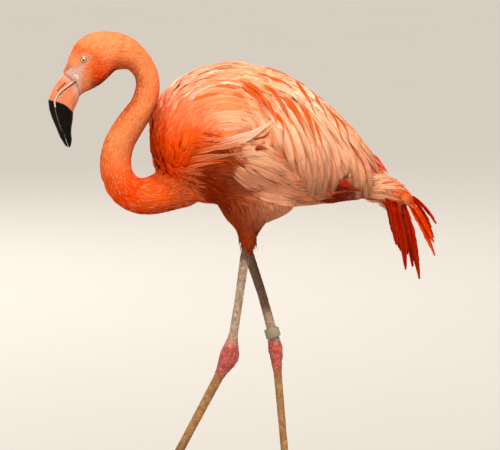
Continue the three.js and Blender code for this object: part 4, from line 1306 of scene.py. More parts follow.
# Light and deep streaks that arch over the back from the shoulder.
STREAKS = (
    ((5, 68), (6.5, 75), (9.5, 81.5), 2.2, "peach"),
    ((3, 65), (4.5, 71.5), (6.5, 77), 2, "peach"),
    ((7, 66), (8.5, 74), (12, 80.5), 2, "peach"),
    ((9.5, 67), (11.5, 74.5), (15.5, 79.5), 2.2, "peach"),
    ((6, 81), (8.5, 86), (12, 90), 2.4, "cream"),
    ((7, 75), (11, 84), (17.5, 90.5), 3.2, "cream"),
    ((8.5, 74.5), (13, 82.5), (20.5, 89), 3, "peach"),
    ((11.5, 74.5), (17, 82), (24.5, 87.5), 3, "cream"),
    ((15, 74), (21, 82), (29, 85), 3, "cream"),
    ((18, 76), (24, 82), (32, 81.5), 2.6, "peach"),
    ((18.5, 90.5), (25, 93.5), (33, 95), 3.4, "cream"),
    ((20.5, 88.5), (27.5, 92.5), (35.5, 90), 3, "cream"),
    ((25.5, 85.5), (33, 85), (39.5, 79), 3, "cream"),
    ((28.5, 88), (35.5, 87), (42, 79.5), 3.2, "cream"),
    ((33, 92.5), (39, 89), (44, 80.5), 3.4, "cream"),
    ((37.5, 93), (43.5, 90.5), (49.5, 84.5), 3.4, "cream"),
    ((35, 80), (40, 75), (43.5, 66), 2.8, "peach"),
    ((10, 72.5), (14.5, 79.5), (21.5, 85), 2.2, "orange"),
    ((16.5, 74), (22.5, 78.5), (30, 80), 2.8, "orange"),
    ((21, 85.5), (27, 87.5), (34.5, 84.5), 2, "coral"),
    ((30, 79.5), (35, 77.5), (39.5, 72), 2, "orange"),
    ((30.5, 93.5), (36, 91.5), (42.5, 85.5), 2, "orange"),
    ((32, 84.5), (38, 81.5), (43.5, 73), 2.6, "orange"),
    ((24.5, 90), (30.5, 90.5), (37.5, 87.5), 1.8, "coral"),
    ((36.5, 90), (41, 85.5), (45.5, 77.5), 2.4, "orange"),
    ((24, 83.5), (31.5, 83.5), (38.5, 76.5), 2, "orange"),
    ((5, 70), (6.5, 77), (10, 83), 2.2, "coral"),
    ((22, 94), (27.5, 97), (34.5, 98), 2.6, "coral"),
    ((34.5, 98), (39.5, 97.5), (45, 94), 2.6, "orange"),
)
FLANK_FEATHERS = (
    ((30, 33.5), (35.5, 28), (40.5, 22), 7, "shell"),
    ((30.5, 30.5), (37.5, 22), (43.5, 14.5), 7, "shell"),
    ((32, 32.5), (41, 25), (53, 13.5), 8, "shell"),
    ((43.5, 13.5), (52, 8), (61.5, 7.5), 7, "shell"),
    ((38.5, 16.5), (46, 11), (56.5, 9.5), 7, "shell"),
    ((40, 22), (49, 16.5), (60, 14.5), 8, "shell"),
    ((32.5, 33.5), (43, 30.5), (58, 14.5), 10, "shell"),
    ((29.5, 36.5), (41.5, 37.5), (57, 22), 11, "peach"),
    ((30, 39.5), (41.5, 44), (54.5, 30.5), 10, "peach"),
)
VENT_FEATHERS = (
    ((64.5, 8.5), (72, 10), (80.5, 12.5), 5, "crimson"),
    ((68.5, 11.5), (74, 13.5), (80, 14), 5, "crimson"),
    ((69, 16), (73.5, 17), (79, 16.5), 4.5, "crimson"),
    ((71.5, 23.5), (74.5, 26), (77.5, 22), 5, "crimson"),
    ((72.5, 17.5), (77, 16.5), (82.5, 14.5), 5, "rust"),
    ((71.5, 19), (74.5, 19), (77.5, 16.5), 3, "scarlet"),
    ((71, 21.5), (73.5, 21.5), (76.5, 18.5), 4, "scarlet"),
)
RUMP_FEATHERS = (
    ((82, 9), (86.5, 7), (90.5, 3), 4, "shell"),
    ((82.5, 23.5), (88, 23), (94.5, 19.5), 4, "peach"),
    ((82.5, 20), (89, 19.5), (93.5, 17), 4.5, "peach"),
    ((83.5, 16), (90.5, 15.5), (96.5, 12), 4.5, "peach"),
    ((83, 12), (90.5, 11), (98, 8), 4.5, "peach"),
    ((86.5, 7.5), (93, 6.5), (98.5, -0.5), 4.5, "salmon"),
    ((89, 5), (94, 3), (97.5, -4.5), 4.5, "orange"),
    ((88, 6), (91.5, 2), (93, -5), 4, "orange"),
    ((90.5, 5), (94.5, 2), (96.5, -3), 3.5, "coral"),
    ((94, 11), (98, 6.5), (100.5, 0), 3, "coral"),
    ((87.5, 18.5), (91, 18), (94.5, 17.5), 1.6, "flame"),
    ((90.5, 13), (94, 12.5), (98, 9), 1.6, "flame"),
    ((91, 15.5), (94.5, 15), (97.5, 13), 1.8, "orange"),
    ((94, 8), (97, 6.5), (99, 3), 1.6, "flame"),
    ((86.5, 21.5), (89, 21), (91.5, 19.5), 1.5, "cream"),
    ((84.5, 35.5), (88, 29), (91.5, 22), 4.8, "flame"),
    ((84.5, 32), (85.5, 28.5), (86.5, 24.5), 2.6, "scarlet"),
    ((82.5, 30), (83.5, 27.5), (84.5, 24.5), 2.4, "scarlet"),
)


def own_tones(centre, places, ring, rng, tones, share=0.65, vary=0.05, edge=0.35, root=(0.78, 0.62, 0.50),
              until=0.4):
    """One colour per feather, mixed with the markings, with a dark root and a pale rim."""
    base = mix(body_tone(centre.reshape(-1, 3)).reshape(centre.shape), tones[:, None, None], share)
    rim = smoothstep(0.45, 1.0, np.abs(places))[..., None, None]
    along = ring[..., None]
    base = mix(base, tint("cream"), edge * rim * smoothstep(0.2, 0.7, along))
    shade = 1 + rng.normal(0, vary, places.shape)[..., None, None]
    return base * shade * mix(np.array(root), np.ones(3), smoothstep(0.02, until, along))


DRAWN_GROUPS = {
    "coverts": (COVERTS, dict(strands=21, rings=7, lifted=0.0022, drop=0.4, fray=0.16, taper=0.45, pack=1.7)),
    "streaks": (STREAKS, dict(
        strands=9, rings=7, lifted=0.0024, fray=0.30, taper=0.1, pack=1.7, fan=(0.25, 1.0, 0.7), tuck=0.4,
        share=0.75, edge=0.0, root=(1, 1, 1))),
    "front_feathers": (FRONT_FEATHERS, dict(
        strands=9, rings=5, rise=0.0, lifted=0.0008, fray=0.3, taper=0.4, share=0.5, edge=0.1)),
    # The hollow feathers' dark roots are painted shade in the hollow.
    "hollow_feathers": (HOLLOW_FEATHERS, dict(
        strands=9, rings=5, lifted=0.0034, fray=0.4, taper=0.4, tuck=0.8, share=0.9, edge=0.0,
        root=(0.6, 0.5, 0.4))),
    "under_scapulars": (UNDER_SCAPULARS, dict(
        strands=11, rings=7, lifted=0.0046, fray=0.34, taper=0.4, pack=1.7, edge=0.1,
        root=(0.85, 0.42, 0.22), until=0.6)),
    "scapulars": (SCAPULARS, dict(
        strands=19, rings=7, lifted=0.0054, fray=0.16, taper=0.08, pack=1.8, vary=0.07, edge=0.2,
        root=(0.95, 0.52, 0.28), until=0.8)),
    "flank_feathers": (FLANK_FEATHERS, dict(
        strands=23, rings=6, lifted=0.0030, fray=0.26, taper=0.8, pack=1.7)),
    "vent_feathers": (VENT_FEATHERS, dict(
        strands=11, rings=6, lifted=0.0022, fray=0.3, taper=0.35, pack=1.7, tuck=0.6, share=0.9, edge=0.0)),
    "rump_feathers": (RUMP_FEATHERS, dict(
        strands=13, rings=6, rise=0.9, lifted=0.0028, fray=0.36, taper=0.35, pack=1.6, tuck=0.6, share=0.85,
        edge=0.15)),
}
OVERHANGING = ("front_feathers", "rump_feathers")


def drawn_with_halves(feathers, side, overhang=False):
    """Lines of drawn feathers over one side of the body, and their half widths."""
    half = np.array([feather[3] for feather in feathers]) * MM
    return drawn([feather[:3] for feather in feathers], side, overhang), half


def make_drawn_feathers():
    """The large feathers of the tables above, on both sides."""
    line = MidLine(BODY_LINE)
    for side in SIDES:
        for number, (name, (feathers, sizes)) in enumerate(DRAWN_GROUPS.items()):
            rng = np.random.default_rng(SEED + 30 + number)
            rows, half = drawn_with_halves(feathers, side, name in OVERHANGING)
            tones = np.array([tint(feather[4]) for feather in feathers])
            piece = locks(f"{name}_{side}", rows, half, rng=rng, line=line, tone_of=own_tones, tones=tones,
                          **sizes)
            finish_coat(piece)


def make_thigh_coat():
    """Short feathers on the thighs, with a ragged cuff over each leg."""
    rng = np.random.default_rng(SEED + 4)
    for side in SIDES:
        low, high = corners_of(f"{side}_thigh")
        line = MidLine(((0.03, high[2]), (0.0, low[2])), y=(low[1] + high[1]) / 2)
        roots = the_skin().scatter(THIGH_FEATHERS, region_chance(THIGH, side), rng)
        rows = grown(roots, 0.026, rng, stray=0.05, free=0.7)
        piece = locks(f"coat_{side}_thigh", rows, 0.0026, 5, 4, rng, line, rise=0.75, fray=0.25, root=0.88,
                      vary=0.04)
        finish_coat(piece)
        near_leg = region_chance(THIGH, side) * (the_skin().places[:, 2] < low[2] + 0.022)
        near_leg = near_leg * (the_skin().normals[:, 2] > -0.4)
        roots = the_skin().scatter(CUFF_FEATHERS, near_leg, rng)
        lengths = 0.026 * rng.uniform(0.8, 1.2, CUFF_FEATHERS)
        rows = paths(roots, lengths, rng.normal(0, 0.08, CUFF_FEATHERS), free=0.05)
        piece = locks(f"coat_{side}_cuff", rows, 0.0022, 5, 4, rng, line, rise=0.6, lifted=0.0006, fray=0.35,
                      root=0.88, vary=0.04)
        finish_coat(piece)


# Where the hanging plumes end: percent of the body's length and height along the edge.
PLUME_EDGE = (
    (43, 66), (45, 61), (47.5, 54), (49.5, 43), (54.5, 31), (58, 20), (60, 12), (66, 10), (69, 15),
    (71.5, 23), (74, 27), (76.5, 22), (78.5, 14), (83, 12), (84, 25), (86, 30), (88, 37),
)

# Lie of the wing's plumes: percent of the body's length and height, and degrees above level.
WING_LAY = (
    (43.5, 95, -14), (55, 90, -28), (63, 79, -42), (71.5, 66.5, -50), (78, 55.5, -54), (85.5, 37, -60),
    (46.5, 82, -50), (52, 67.5, -68), (51, 52.5, -80), (57.5, 59.5, -66), (56.5, 74, -58),
    (63, 62.5, -70), (62.5, 44, -80), (59.5, 43, -76), (68, 59.5, -70), (71.5, 48, -66), (73.5, 33, -85),
    (68.5, 28, -95), (65, 20.5, -97), (78, 38, -75), (80.5, 23.5, -80), (82.5, 16.5, -88),
)

# Orange stripes between the plumes: root, middle, tip and half width, as above.
STRIPES = (
    ((43.5, 95), (51, 91.5), (59, 84.5), 3.2), ((45.5, 92), (50, 89), (54.5, 85), 2),
    ((51.5, 89), (58.5, 75.5), (63.5, 57.5), 2.8), ((40, 90.5), (48.5, 86), (56, 77), 3.4),
    ((41.5, 85), (48.5, 76), (52, 62.5), 2.8), ((34.5, 87), (42, 78.5), (46.5, 62), 3.6),
    ((35, 84), (41, 75), (46, 61), 3), ((40, 78), (46, 69), (48.5, 53.5), 3.2),
    ((46.5, 68), (50, 59), (50.5, 47), 3), ((50, 77), (56, 64), (59.5, 45.5), 3.4),
    ((56, 72.5), (60.5, 59), (63, 40.5), 3), ((56.5, 84.5), (63, 71.5), (68.5, 55), 2.8),
    ((57, 86.5), (64.5, 76.5), (71.5, 65.5), 1.6), ((63.5, 76), (69.5, 65.5), (74, 55.5), 1.7),
    ((65.5, 69), (70, 57.5), (73, 40), 2.2), ((58.5, 86), (62, 82.5), (66, 77), 2),
    ((61, 63), (64, 50), (65, 37), 1.6), ((70, 62), (73.5, 53), (75.5, 40), 1.5),
    ((74.5, 58.5), (78.5, 49), (81.5, 37), 1.5), ((45.5, 81), (51, 70), (53.5, 54), 1.5),
)


def wing_lay(places):
    """Direction of the wing's plumes, between the marks above."""
    u, v = shares_of(places)
    total = np.zeros((len(places), 3))
    for across, height, degrees in WING_LAY:
        weight = np.exp(-((u - across / 100) ** 2 + 0.4 * (v - height / 100) ** 2) / 0.004) + 1e-6
        angle = math.radians(degrees)
        total += weight[:, None] * np.array([math.cos(angle), 0, math.sin(angle)])
    return unit(total)


def edge_height(u):
    """Share of the body's height at which the plumes end."""
    return np.interp(u, *(np.array(PLUME_EDGE) / 100).T)


def plume_end(rows):
    """Share of its path at which each plume reaches the edge."""
    u, v = shares_of(rows)
    below = v < edge_height(u)
    last = rows.shape[1] - 1
    return np.where(below.any(1), below.argmax(1), last) / last


def plume_tones(centre, places, ring, rng, flush=0.6, vary=0.05):
    """Pale silky plumes, orange at the root, with painted shade between their strands and low down."""
    base = body_tone(centre.reshape(-1, 3)).reshape(centre.shape)
    share = ring[..., None]
    edge = np.abs(places)[..., None, None]
    tones = mix(base, tint("orange"), flush * (1 - smoothstep(0.0, 0.30, share)))
    pale = 0.12 * smoothstep(0.5, 1.0, share) + 0.34 * (1 - edge) * smoothstep(0, 0.4, share)
    tones = mix(tones, tint("cream"), pale)
    # Painted shade: the plumes darken towards the bottom, where they turn under.
    _, v = shares_of(centre)
    tones = tones * mix(np.array([0.82, 0.67, 0.60]), np.ones(3), smoothstep(0.22, 0.55, v)[..., None])
    shade = 1 + rng.normal(0, vary, places.shape)[..., None, None]
    shade = shade + rng.normal(0, vary, (len(places), 1, 1, 1))
    # Painted shade in the grooves between a plume's strands.
    painted_groove_shade = mix(np.ones(3), np.array([0.84, 0.66, 0.54]), smoothstep(0.5, 1.0, edge))
    return tones * shade * painted_groove_shade


def stripe_tones(centre, places, ring, rng):
    """Orange stripes, reddest at the root."""
    share = ring[..., None] * np.ones_like(centre[..., :1])
    shade = 1 + rng.normal(0, 0.05, places.shape)[..., None, None]
    middle = 0.4 * (1 - np.abs(places))[..., None, None] * (1 - 0.6 * share)
    tones = mix(tint("orange") * 0.95, tint("flame") * 0.9, middle)
    tones = mix(tones, tint("peach"), 0.3 * smoothstep(0.4, 1.0, share))
    return mix(tones, tint("coral"), 0.4 * (1 - smoothstep(0.0, 0.3, share))) * shade


def make_plumes():
    """Long plumes in rows down from the ridge, and the stripes between them."""
    line = MidLine(BODY_LINE)
    for side, sign in SIDES.items():
        rng = np.random.default_rng(SEED + 5)
        u = np.concatenate([np.linspace(0.36, 0.88, coat().plumes) + 0.011 * row for row in range(6)])
        row = np.repeat(np.arange(6), coat().plumes)
        v = ridge_height(u) - 0.010 - 0.068 * row + rng.normal(0, 0.010, len(u))
        kept = (v > edge_height(u) + 0.05) & (u < 0.88) & ((u > 0.39) | (row == 0))
        places = the_skin().rooted(*on_body(u[kept], v[kept]), sign)
        roots = {"place": places, "lay": wing_lay(places)}
        rows = grown(roots, 0.150, rng, stray=0.03, follow=0.5, lay=wing_lay)
        piece = locks(f"plumes_{side}", rows, 0.0070, 15, 8, rng, line, rise=1.0, lifted=0.0026, fray=0.10,
                      taper=0.6, pack=1.7, end=plume_end, tone_of=plume_tones)
        finish_coat(piece)
        rows, half = drawn_with_halves(STRIPES, side)
        piece = locks(f"plume_stripes_{side}", rows, half, 9, 9, rng, line, rise=0.9, lifted=0.0041,
                      fray=0.20, fan=(0.25, 1.0, 0.65), taper=0.2, tuck=0.75, pack=1.7, tone_of=stripe_tones)
        finish_coat(piece)


# ---------------------------------------------------------------- tail


def feather_spine(node, stations=9):
    """Centres, half widths and sideways directions down a long solid feather, from its root to its tip."""
    places = places_of(frame["nodes"][node].data)
    middle = places.mean(0)
    _, _, axes = np.linalg.svd(places - middle, full_matrices=False)
    long_way = axes[0] if axes[0][2] < 0 else -axes[0]
    reach = (places - middle) @ long_way
    edges = np.linspace(reach.min(), reach.max(), stations + 1)
    centres, widths = [], []
    for low, high in zip(edges[:-1], edges[1:]):
        here = places[(reach >= low - 1e-6) & (reach <= high + 1e-6)]
        if len(here) < 3:
            continue
        centre = (here.max(0) + here.min(0)) / 2
        centres.append(centre)
        widths.append(np.abs((here - centre) @ axes[1]).max())
    return np.array(centres), np.array(widths), axes[1], axes[2]


def tail_vane(spine, widths, side, up, deep, rng, barbs=40, rings=5):
    """Barbs that sweep back from both sides of a shaft, and the shaft itself."""
    start = np.linspace(-0.05, 0.90, barbs)
    step = np.linspace(0, 1, rings + 1)[None]
    strands = []
    for sign in (-1, 1):
        sweep = 0.30 + rng.normal(0, 0.04, (barbs, 1))
        shares = np.clip(start[:, None] + sweep * step, 0, 1.0)
        line = along_rows(spine[None], shares[None])[0]
        width = np.interp(shares, np.linspace(0, 1, len(widths)), widths * 0.95)
        out = step**0.75 * (1 + rng.normal(0, 0.10, (barbs, 1)))
        places = line + sign * side * (width * out)[..., None]
        places = places + up * (0.0012 * np.sin(2.6 * step) + rng.normal(0, 0.0004, (barbs, 1)))[..., None]
        halves = np.full((barbs, 1), 0.0010) * np.interp(step, (0, 0.5, 0.8, 1), (0.9, 1, 0.8, 0.08))
        shade = np.clip(deep + rng.normal(0, 0.18, (barbs, 1, 1)), 0, 1)
        tones = mix(tint("flame"), mix(tint("scarlet"), tint("crimson"), 0.6), shade)
        tones = mix(tones, tint("orange"), 0.12 * step[..., None])
        tones = tones * np.linspace(0.8, 1.1, rings + 1)[None, :, None]
        strands.append((places, halves, tones))
    shaft = along_rows(spine[None], np.linspace(0, 0.98, rings + 1)[None, None])[0]
    strands.append((shaft, np.linspace(0.0012, 0.0001, rings + 1)[None],
                    np.broadcast_to(tint("crimson"), (1, rings + 1, 3))))
    places, halves, tones = (np.concatenate(values) for values in zip(*strands))
    ups = np.broadcast_to(up, places.shape)
    ways = unit(np.gradient(places, axis=1))
    return places, unit(np.cross(ways, ups)), ups, halves, tones


def make_tail():
    """Each long tail feather with two shorter ones over it, as barbs on shafts."""
    rng = np.random.default_rng(SEED + 6)
    vanes = []
    for node in TAIL_FEATHERS:
        spine, widths, side, up = feather_spine(node)
        deep = 1.1 - 1.0 * smoothstep(0.262, 0.284, spine[-1, 0])
        vanes.append(tail_vane(spine, widths, side, up, deep, rng))
        for _ in range(2):
            share = np.linspace(0, 1, len(spine))[:, None]
            drift = rng.uniform((-0.010, -0.005, 0.004), (0.006, 0.005, 0.024))
            near = spine + (drift * (0.3 + 0.7 * share)) + np.array([0, 0, 0.006])
            near[:, 2] = np.maximum(near[:, 2], spine[:, 2])
            tone = deep + rng.uniform(-0.3, 0.3)
            vanes.append(tail_vane(near, widths * 0.75, side, up, tone, rng, barbs=26))
    centres, across, ups, halves, tones = (np.concatenate(values) for values in zip(*vanes))
    line = MidLine(((0.23, 0.48), (0.27, 0.36)))
    piece = strand_mesh("tail_feathers", centres, across, ups, halves, halves * 0.5, tones,
                        unwrapped(centres[:, 0], line), calm=0.0)
    finish_coat(piece, TAIL_FEATHERS)


# ---------------------------------------------------------------- bill and eyes


# The black of the bill: x and z in metres along its border, from the ridge to the chin.
BLACK_BORDER = (
    (-0.2895, 0.6218), (-0.2751, 0.6191), (-0.2650, 0.6158), (-0.2570, 0.6090), (-0.2519, 0.6020),
)
NOSTRIL = ((-0.2634, 0.6470), (-0.2756, 0.6352))


def bill_tone(places, upper, from_mouth):
    """Pink horn, a pale edge along the mouth, a black tip, and painted shade in the mouth line and nostril."""
    x, z = places[:, 0], places[:, 2]
    edge = (1 - smoothstep(0.0028, 0.0042, from_mouth)) * upper
    border = np.interp(x, *zip(*BLACK_BORDER)) + 0.0005 * noise(places, 0.003, 3) - 0.0085 * edge
    black = smoothstep(0.0007, -0.0007, z - border)
    streaks = noise(places * (1.6, 1, 0.5), 0.004, 5)
    base = mix(tint("horn_pink"), tint("orange"), (0.15 + 0.20 * streaks)[:, None])
    lights = smoothstep(0.2, 0.9, noise(places * (2.2, 1, 0.5), 0.003, 7))
    base = mix(base, tint("cream"), (0.32 * lights)[:, None])
    at_face = 1 - smoothstep(0.002, 0.014, from_face(places))
    base = mix(base, tint("blush"), (0.75 * at_face)[:, None])
    pale = smoothstep(0.0010, 0.0016, from_mouth) * edge
    base = mix(base, tint("cream"), (0.75 * pale)[:, None])
    mottled = 1 + 0.06 * noise(places, 0.006, 5) + 0.05 * noise(places, 0.0015, 6)
    horn = tint("horn_black") * (1 + 0.5 * noise(places * (1.6, 1, 0.5), 0.003, 9))[:, None]
    # Partly the pale edge's own colour, partly a painted highlight: a thin grey line along the mouth into the
    # black.
    thin = pale * smoothstep(0.572, 0.582, z) * (1 - smoothstep(0.0020, 0.0032, from_mouth))
    horn = mix(horn, tint("leg_grey"), (0.35 * thin)[:, None])
    tones = mix(base * mottled[:, None], horn, black[:, None])
    # Painted shade in the gape along the mouth line and in the nostril's slot.
    width = np.interp(z, (0.560, 0.605, 0.632, 0.650), (0.0004, 0.0010, 0.0022, 0.0016))
    mouth = 1 - smoothstep(0.7 * width, width + 0.0003, from_mouth)
    slot = 1 - smoothstep(0.0003, 0.0010, off_stroke(x, z, *NOSTRIL) + 0.0002 * noise(places, 0.002, 15))
    dark = mix(tint("horn_black"), tint("rust") * 0.3, 0.5)
    return mix(tones, dark, np.maximum(mouth, slot * upper)[:, None])


def from_face(places):
    """Distance from the feathered edge of the face."""
    tree, _ = cad_tree()
    return np.array([tree.find_nearest(place)[3] for place in places.tolist()])


def make_bill():
    """Both halves of the bill, with the gape's lip, the nostril's slot and fine grooves."""
    solids = {node: frame["nodes"][node].data for node in ("upper_bill", "lower_bill")}
    trees = {
        node: BVHTree.FromPolygons(places_of(mesh).tolist(), triangles_of(mesh).tolist())
        for node, mesh in solids.items()
    }

    def gap_to(node, places):
        return np.array([trees[node].find_nearest(place)[3] for place in places.tolist()])

    for node, other in (("upper_bill", "lower_bill"), ("lower_bill", "upper_bill")):
        upper = float(node == "upper_bill")
        piece = shell_of(f"{node}_horn", (node,), HORN_CELL, 5)

        def detailed(places):
            mouth = gap_to(other, places) < 0.0022
            slot = off_stroke(places[:, 0], places[:, 2], *NOSTRIL) < 0.0022
            return (mouth | (slot & bool(upper))) & (places[:, 2] > 0.600)

        refine(piece, detailed)
        places, normals = places_of(piece.data), normals_of(piece.data)
        from_mouth = gap_to(other, places)
        slot = 1 - smoothstep(0.0004, 0.0011, off_stroke(places[:, 0], places[:, 2], *NOSTRIL))
        slot = slot * smoothstep(0.3, 0.6, np.abs(normals[:, 1])) * upper
        lip = 1 - smoothstep(0.0006, 0.0014, from_mouth)
        grooves = 0.00010 * noise(places * (2.2, 1, 0.4), 0.0030, 13)
        places = places - normals * (0.0011 * slot + 0.0003 * lip + grooves)[:, None]
        set_places(piece.data, places)
        paint(piece.data, np.clip(bill_tone(places, upper, from_mouth), 0.002, 0.95))
        finish_smooth(piece, horn_finish(), (node,))


def eye_finish():
    """Rings of pupil, iris and dark rim about the eye's middle, under a clear wet coat."""
    settings = {"Roughness": 0.12, "Coat Weight": 1.0, "Coat Roughness": 0.02}
    material, nodes, links, shader, place = new_material("eye_glass", settings)
    centred = nodes.new("ShaderNodeMapping")
    centred.inputs["Location"].default_value = (-EYE[0] / EYE_RADIUS, 0, -EYE[2] / EYE_RADIUS)
    centred.inputs["Scale"].default_value = (1 / EYE_RADIUS, 0, 1 / EYE_RADIUS)
    reach = nodes.new("ShaderNodeVectorMath")
    reach.operation = "LENGTH"
    rings = nodes.new("ShaderNodeValToRGB")
    stops = rings.color_ramp
    black = (*tint("horn_black") * 0.15, 1)
    iris = (*tint("iris"), 1)
    stops.elements[0].color = black
    stops.elements[1].color = black
    stops.elements[1].position = 0.16
    for position, colour in ((0.20, (*tint("rust") * 0.7, 1)), (0.25, iris), (0.50, iris),
                             (0.57, (*tint("orange") * 0.5, 1)), (0.62, (*tint("rust") * 0.3, 1))):
        stops.elements.new(position).color = colour
    fibres = nodes.new("ShaderNodeTexNoise")
    fibres.inputs["Scale"].default_value = 900
    mixed = nodes.new("ShaderNodeMix")
    mixed.data_type = "RGBA"
    mixed.blend_type = "MULTIPLY"
    mixed.inputs["Factor"].default_value = 0.25
    links.new(place.outputs["Object"], centred.inputs["Vector"])
    links.new(centred.outputs["Vector"], reach.inputs[0])
    links.new(reach.outputs["Value"], rings.inputs["Fac"])
    links.new(place.outputs["Object"], fibres.inputs["Vector"])
    links.new(rings.outputs["Color"], mixed.inputs["A"])
    links.new(fibres.outputs["Color"], mixed.inputs["B"])
    links.new(mixed.outputs["Result"], shader.inputs["Base Color"])
    return material


def make_eyes():
    material = eye_finish()
    for side, sign in SIDES.items():
        bpy.ops.object.select_all(action="DESELECT")
        centre = (float(EYE[0]), sign * float(EYE[1]), float(EYE[2]))
        bpy.ops.mesh.primitive_uv_sphere_add(segments=48, ring_count=32, radius=EYE_RADIUS * 0.985,
                                             location=centre, rotation=(math.radians(90), 0, 0))
        piece = bpy.context.object
        piece.name = piece.data.name = f"{side}_eyeball"
        bpy.ops.object.transform_apply(location=True, rotation=True, scale=True)
        places = places_of(piece.data)
        reach = np.hypot(places[:, 0] - EYE[0], places[:, 2] - EYE[2])
        outward = places[:, 1] * sign > abs(centre[1])
        bulge = 0.0006 * (1 - smoothstep(0.001, 0.0048, reach)) * outward
        places[:, 1] += sign * bulge
        set_places(piece.data, places)
        finish_smooth(piece, material, (f"{side}_eye",))


# ---------------------------------------------------------------- legs

# Colours down a leg: height in metres and tint, from the floor up.
# Leg dark is painted shade: high on each shank under the thigh feathers, and lower down on the right, far leg.
LEG_MARKS = {
    "left": (
        (0.0, "web_pink"), (0.04, "leg_tan"), (0.20, "leg_tan"), (0.218, "joint_red"), (0.25, "joint_red"),
        (0.268, "leg_grey"), (0.37, "leg_grey"), (0.39, "leg_dark"), (0.43, "leg_dark")),
    "right": (
        (0.0, "web_pink"), (0.03, "leg_tan"), (0.20, "leg_tan"), (0.216, "joint_red"), (0.25, "joint_red"),
        (0.26, "leg_grey"), (0.285, "leg_grey"), (0.31, "leg_dark"), (0.43, "leg_dark")),
}


def leg_tone(side, places, border, shade):
    tones = graded(places[:, 2] + 0.004 * noise(places, 0.009, 2), LEG_MARKS[side])
    stipple = 0.72 + 0.5 * shade - 0.30 * border + 0.10 * noise(places, 0.003, 8)
    return tones * stipple[:, None]


def make_legs():
    for side in SIDES:
        nodes = [f"{side}_{part}" for part in LEG_PARTS]
        piece = shell_of(f"{side}_leg", nodes, HORN_CELL, 5)
        mesh = piece.data
        places, normals = places_of(mesh), normals_of(mesh)
        border, shade = plates(places * (1, 1, 0.72), 0.0042, 1)
        ankle_low, ankle_high = corners_of(f"{side}_ankle")
        ankle = smoothstep(ankle_low[2] - 0.004, ankle_low[2] + 0.006, places[:, 2])
        ankle *= 1 - smoothstep(ankle_high[2] - 0.006, ankle_high[2] + 0.004, places[:, 2])
        lumps = noise(places, 0.005, 4)
        off_floor = smoothstep(0.0004, 0.002, places[:, 2])
        relief = -0.00038 * border + 0.0002 * shade + 0.0006 * lumps * ankle
        relief -= 0.0012 * smoothstep(0.385, 0.405, places[:, 2])
        places = places + normals * (relief * off_floor)[:, None]
        set_places(mesh, places)
        paint(mesh, np.clip(leg_tone(side, places, border, shade), 0.003, 0.95))
        finish_smooth(piece, scale_finish(), nodes)


def make_claws():
    for side in SIDES:
        for number in CLAWS:
            node = f"{side}_claw_{number}"
            piece = shell_of(f"{side}_claw_horn_{number}", (node,), CLAW_CELL, 4)
            places = places_of(piece.data)
            paint(piece.data, tint("horn_black") * (1.4 + 0.6 * noise(places, 0.002, 9))[:, None])
            finish_smooth(piece, horn_finish(), (node,))


def make_band():
    piece = joined_copies("ankle_band", ("leg_band",))
    bevel = piece.modifiers.new("edges", "BEVEL")
    bevel.width = 0.0004
    bevel.segments = 2
    bevel.limit_method = "ANGLE"
    bevel.angle_limit = math.radians(50)
    bpy.ops.object.modifier_apply(modifier=bevel.name)
    places = places_of(piece.data)
    worn = 1 + 0.12 * noise(places, 0.004, 7) + 0.06 * noise(places, 0.001, 8)
    paint(piece.data, tint("band_grey") * worn[:, None])
    bpy.ops.object.shade_smooth_by_angle(angle=math.radians(40))
    finish_piece(piece, surface("band_plastic", 0.5, 0.002, 0.0001, shade_size=0.004), ("leg_band",))


# ---------------------------------------------------------------- stage


def plain_finish(name, colour, roughness):
    material, nodes, links, shader, place = new_material(name, {"Roughness": roughness})
    grain = nodes.new("ShaderNodeTexNoise")
    grain.inputs["Scale"].default_value = 3
    ramp = nodes.new("ShaderNodeValToRGB")
    ramp.color_ramp.elements[0].color = (*(linear(colour) * 0.97), 1)
    ramp.color_ramp.elements[1].color = (*linear(colour), 1)
    links.new(place.outputs["Object"], grain.inputs["Vector"])
    links.new(grain.outputs["Fac"], ramp.inputs["Fac"])
    links.new(ramp.outputs["Color"], shader.inputs["Base Color"])
    return material


def aimed_light(name, kind, place, aim, power, colour=(1, 1, 1), **settings):
    data = bpy.data.lights.new(name, kind)
    data.energy = power
    data.color = colour
    for setting, value in settings.items():
        setattr(data, setting, value)
    light = bpy.data.objects.new(name, data)
    light.location = place
    light.rotation_euler = (Vector(aim) - Vector(place)).to_track_quat("-Z", "Y").to_euler()
    bpy.context.collection.objects.link(light)


AIM = (0.0125, 0.0, 0.4329)  # the middle of the view


